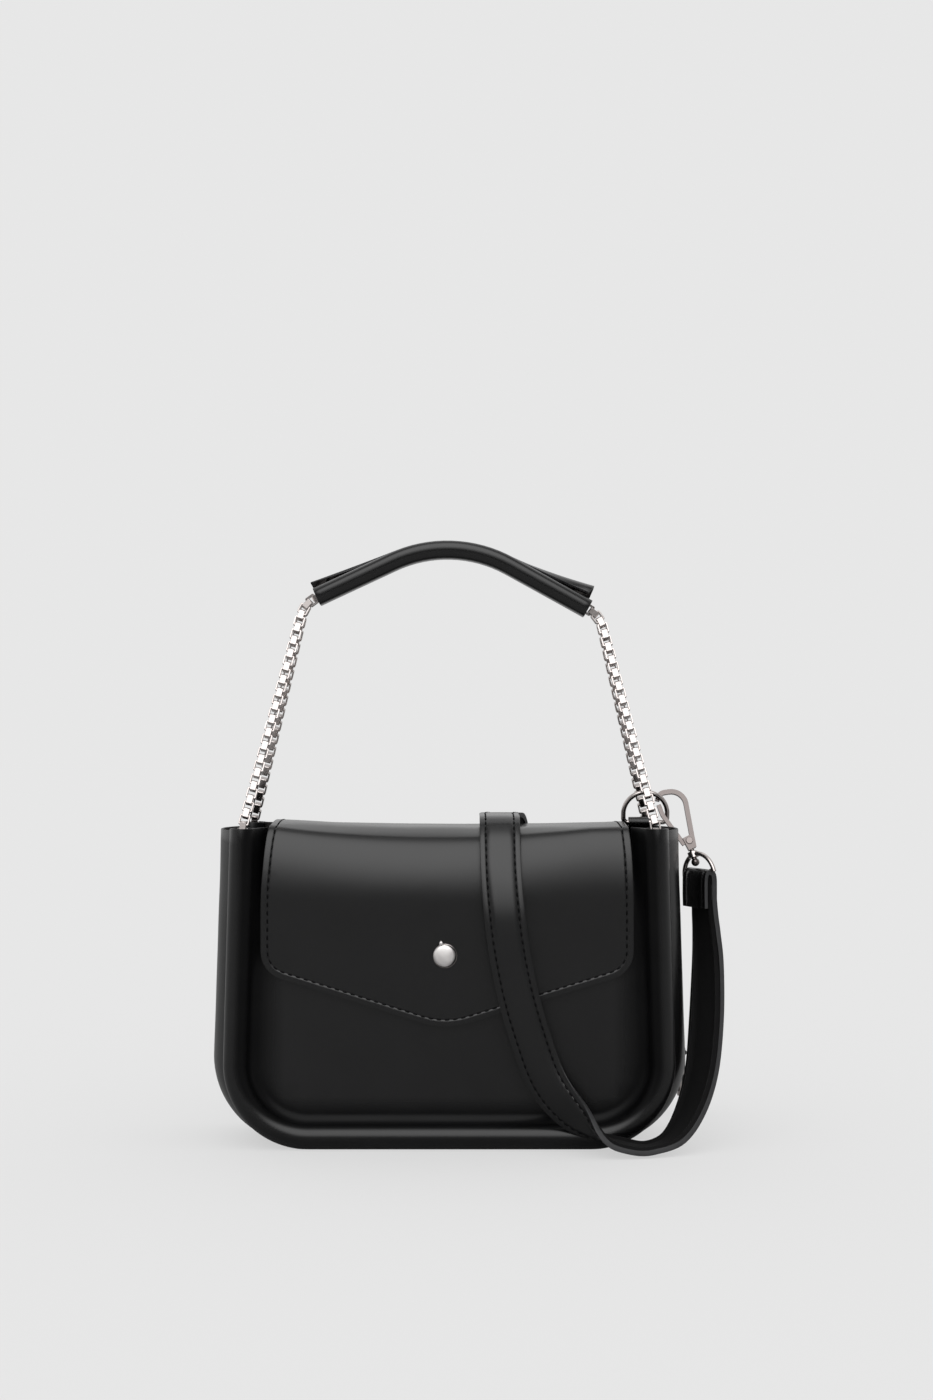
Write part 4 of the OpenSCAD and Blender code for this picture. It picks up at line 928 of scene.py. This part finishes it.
def grip_line(steps):
    """The wrap's centre line in x and z: two straight arms and a bend."""
    turn = left_drop + right_drop
    t = BEND_R * math.tan(turn / 2)
    a, b = PEAK + LEFT_DIR * t, PEAK + RIGHT_DIR * t
    side = (RIGHT_DIR + LEFT_DIR * math.cos(turn)).normalized()
    angles = [turn * k / steps for k in range(steps + 1)]
    bend = [a - LEFT_DIR * BEND_R * math.sin(q) + side * BEND_R * (1 - math.cos(q))
            for q in angles]
    left = [(PEAK + LEFT_DIR * LEFT_ARM).lerp(a, k / steps) for k in range(steps)]
    right = [b.lerp(PEAK + RIGHT_DIR * RIGHT_ARM, k / steps) for k in range(1, steps + 1)]
    return left + bend + right


def smooth_section(section, steps=4):
    rows = [(Vector(p), Vector(p)) for p in section]
    return [p for p, _ in smooth_route(rows, steps)]


def make_wrap():
    line = grip_line(16)
    closed, parted, curled = [
        smooth_section(s) for s in (closed_section, open_section, curled_section)]
    n, m = len(line), len(closed)
    bm = bmesh.new()
    row = bm.verts.layers.int.new("row")
    bmesh.ops.create_grid(bm, x_segments=n - 1, y_segments=m - 1, size=1)
    for v in bm.verts:
        i = round((v.co.x + 1) / 2 * (n - 1))
        j = round((v.co.y + 1) / 2 * (m - 1))
        v[row] = i
        d = (line[min(i + 1, n - 1)] - line[max(i - 1, 0)]).normalized()
        up = Vector((-d.y, d.x))
        end = 2 * i / (n - 1) - 1
        share = max(0.0, abs(end) - 0.2) / 0.8
        if end < 0:
            s = closed[j].lerp(parted[j], share**1.2)
        else:
            s = closed[j].lerp(curled[j], share**1.5)
        place = line[i] + up * s.y * WRAP_R
        if end > 0 and j > m // 2:
            place -= d * LIP_CUT * share * (j - m // 2) / (m - m // 2)
        v.co = (place.x, s.x * WRAP_R, place.y)

    def outward(face):
        here = line[face.verts[0][row]]
        return face.normal.dot(face.calc_center_median() - Vector((here.x, 0, here.y)))

    face_out(bm, lambda b: sum(outward(f) for f in b.faces) > 0)
    wrap = finish_mesh("handle_wrap_leather", bm, glazed, edge_paint)
    return thicken(wrap, 1.5 * MM, rim=1, round_off=0.3 * MM, painted=True)


wrap = at_rest(make_wrap(), "handle", "handle_wrap")
print("handle wrap faces:", len(wrap.data.polygons))

# %% [markdown]
# The chain is the CAD's own: square links bent from strip, each through the
# next. A copy of each run is welded and its edges are rounded a little, since
# only a rounded edge catches the light.

# %% Chains and other hard parts with softened edges
SHARP = 35


def softened(node, name, width, material, segments=2, turned=None):
    """A welded copy of a CAD node with rounded edges, which stands for it.

    turned, if given, is (centre, axis, degrees).
    """
    bm = bmesh.new()
    bm.from_mesh(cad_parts[node].data)
    if turned:
        centre, axis, degrees = turned
        bmesh.ops.rotate(bm, verts=bm.verts, cent=centre,
                         matrix=Matrix.Rotation(math.radians(degrees), 3, axis))
    bmesh.ops.remove_doubles(bm, verts=bm.verts, dist=2e-6)
    bmesh.ops.dissolve_limit(bm, angle_limit=math.radians(1), verts=bm.verts, edges=bm.edges)
    obj = finish_mesh(name, bm, material, smooth=SHARP)
    soften = obj.modifiers.new("soften", "BEVEL")
    soften.width = width
    soften.segments = segments
    soften.limit_method = "ANGLE"
    soften.angle_limit = math.radians(SHARP)
    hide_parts(node)
    return obj


for run in ("chain_front_left", "chain_front_right", "chain_back_left", "chain_back_right"):
    links = softened(run, run + "_links", 0.14 * MM, nickel, segments=1)
    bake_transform(links)
for run in ("grip_chain_front", "grip_chain_back"):
    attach(softened(run, run + "_links", 0.14 * MM, nickel, segments=1), "handle")
for side in ("right", "left"):
    hook = "hook_" + side
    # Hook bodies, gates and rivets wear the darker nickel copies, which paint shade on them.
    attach(softened(hook, hook + "_cast", 0.6 * MM, shaded_nickel, segments=3), hook)
    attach(softened(hook + "_gate", hook + "_gate_cast", 0.35 * MM, shaded_nickel), hook + "_gate")
    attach(softened(hook + "_rivet", hook + "_rivet_head", 0.5 * MM, shaded_rivet_nickel, segments=3), hook)
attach(softened("swivel_loop_right", "swivel_loop_right_turned", 0.15 * MM, nickel, segments=1,
                 turned=(loop_right, post, -14)), "bag")
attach(softened("lock_ring", "lock_ring_turned", 0.2 * MM, nickel), "flap")
hard = ["lock_plate", "knob_spindle", "toggle_bar", "chain_anchors", "ring_right", "ring_left",
        "swivel_loop_left", "buckle_frame", "buckle_prong"]
for node in hard:
    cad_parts[node].data.materials.clear()
    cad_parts[node].data.materials.append(nickel)
print("hard parts kept as they come:", len(hard))

# %% [markdown]
# The knob is pressed from sheet and brushed, so it shines softly, and its metal
# is much paler than the rest of the nickel: a painted highlight that keeps its
# face bright. Its cap is a low dome with a rolled edge, spun from a profile, and
# a small stud at its rim shows which way it is turned.

# %% The turn knob
def make_knob():
    bm = bmesh.new()
    centre = Vector((-2.4, -32.4, 94.9)) * MM
    profile = [(0, -1.05), (2.2, -0.95), (4.0, -0.68), (5.0, -0.3),
               (5.35, 0.1), (5.45, 0.5), (5.3, 0.85), (4.4, 1.0)]
    edges = line_of_edges(bm, [centre + Vector((r, y, 0)) * MM for r, y in profile])
    geom = edges + list({v for e in edges for v in e.verts})
    bmesh.ops.spin(bm, geom=geom, cent=centre, axis=(0, 1, 0), angle=math.radians(360), steps=64,
                   dvec=(0, 0, 0), use_merge=True)
    bmesh.ops.remove_doubles(bm, verts=bm.verts, dist=1e-6)
    stud = Matrix.Translation(centre + Vector((-1.5, -0.1, 5.9)) * MM)
    size = Matrix.Diagonal((1.0 * MM, 0.8 * MM, 1.35 * MM, 1))
    bmesh.ops.create_uvsphere(bm, u_segments=20, v_segments=12, radius=1, matrix=stud @ size)
    face_out(bm, lambda b: sum(
        f.normal.dot(f.calc_center_median() - centre) for f in b.faces) >= 0)
    return finish_mesh("turn_knob", bm, satin_highlight, smooth=50)


knob = at_rest(make_knob(), "lock_knob", "knob_cap")
print("knob faces:", len(knob.data.polygons))

# %% [markdown]
# The tabs and the strap's folded ends are thick leather, cut square. Their CAD
# solids have the right size, so they get rounded edges and leather.

# %% Leather tabs and the strap's folded ends
for node in ("ring_tab_right", "ring_tab_left", "strap_end_left"):
    piece = softened(node, node + "_leather", 0.5 * MM, polished)
    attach(piece, "bag")
print("tabs and folded ends done")

# %% [markdown]
# The studio is an even pale room. Its floor and its background have one tone,
# so no horizon shows, and the floor keeps a soft shadow. Black leather is drawn
# by what it mirrors, so mirroring rays see a darker floor and the room's real
# shape, which is in the world's own shader and so stays put in each view.

# %% Floor
bm = bmesh.new()
bmesh.ops.create_grid(bm, x_segments=1, y_segments=1, size=6)
floor_material, tree, shader = new_material("studio_floor", Roughness=0.9, Specular_IOR_Level=0.0)
PALE, OWN_GLOW, MIRRORED_FLOOR = 0.8, 0.55, 0.3
shader.inputs["Base Color"].default_value = (*[PALE - OWN_GLOW] * 3, 1)
shader.inputs["Emission Color"].default_value = (1, 1, 1, 1)
shader.inputs["Emission Strength"].default_value = OWN_GLOW
dim = tree.nodes.new("ShaderNodeBsdfDiffuse")
dim.inputs["Color"].default_value = (*[MIRRORED_FLOOR] * 3, 1)
rays = tree.nodes.new("ShaderNodeLightPath")
mix = tree.nodes.new("ShaderNodeMixShader")
link(tree, rays, "Is Glossy Ray", mix, "Fac")
tree.links.new(shader.outputs[0], mix.inputs[1])
tree.links.new(dim.outputs[0], mix.inputs[2])
tree.links.new(mix.outputs[0], tree.nodes["Material Output"].inputs["Surface"])
floor = finish_mesh("floor", bm, floor_material)
print("floor and background have the tone", PALE)

# %% [markdown]
# Each light is a soft patch of the room round one axis. Added up, they are what
# leather and nickel mirror, while the camera sees a single pale tone.

# %% The room
AMBIENT = 0.1
world = bpy.data.worlds.new("studio")
bpy.context.scene.world = world
world.use_nodes = True
world.cycles.sampling_method = "NONE"
tree = world.node_tree
direction = tree.nodes.new("ShaderNodeTexCoord")


def soft_box(axis, strength, full, faded):
    """Light of a strength within full degrees of an axis, gone at faded degrees."""
    facing = tree.nodes.new("ShaderNodeVectorMath")
    facing.operation = "DOT_PRODUCT"
    facing.inputs[1].default_value = Vector(axis).normalized()
    link(tree, direction, "Generated", facing, 0)
    shade = tree.nodes.new("ShaderNodeMapRange")
    shade.interpolation_type = "SMOOTHSTEP"
    shade.inputs["From Min"].default_value = math.cos(math.radians(faded))
    shade.inputs["From Max"].default_value = math.cos(math.radians(full))
    shade.inputs["To Min"].default_value = 0
    shade.inputs["To Max"].default_value = strength
    link(tree, facing, "Value", shade, "Value")
    return shade.outputs["Result"]


boxes = [soft_box((0, 1, 0), 0.5, 40, 115),
         soft_box((0, -0.72, 0.70), 2.4, 12, 41),
         soft_box((-1, -0.12, 0.2), 0.5, 18, 60),
         soft_box((1, 0.1, 0.25), 0.35, 18, 60),
         soft_box((0, 0.35, 1), 0.5, 8, 45)]
total = None
for box in boxes:
    add = tree.nodes.new("ShaderNodeMath")
    tree.links.new(box, add.inputs[0])
    add.inputs[1].default_value = AMBIENT
    if total:
        tree.links.new(total, add.inputs[1])
    total = add.outputs[0]


def lit(strength):
    background = tree.nodes.new("ShaderNodeBackground")
    background.inputs["Color"].default_value = (1, 1, 1, 1)
    if isinstance(strength, float):
        background.inputs["Strength"].default_value = strength
    else:
        tree.links.new(strength, background.inputs["Strength"])
    return background.outputs[0]


def chosen_by(ray, otherwise, picked):
    rays = tree.nodes.new("ShaderNodeLightPath")
    mix = tree.nodes.new("ShaderNodeMixShader")
    link(tree, rays, ray, mix, "Fac")
    tree.links.new(otherwise, mix.inputs[1])
    tree.links.new(picked, mix.inputs[2])
    return mix.outputs[0]


room = chosen_by("Is Glossy Ray", lit(1.0), lit(total))
room = chosen_by("Is Camera Ray", room, lit(PALE))
tree.links.new(room, tree.nodes["World Output"].inputs["Surface"])
print("soft boxes in the room:", len(boxes))
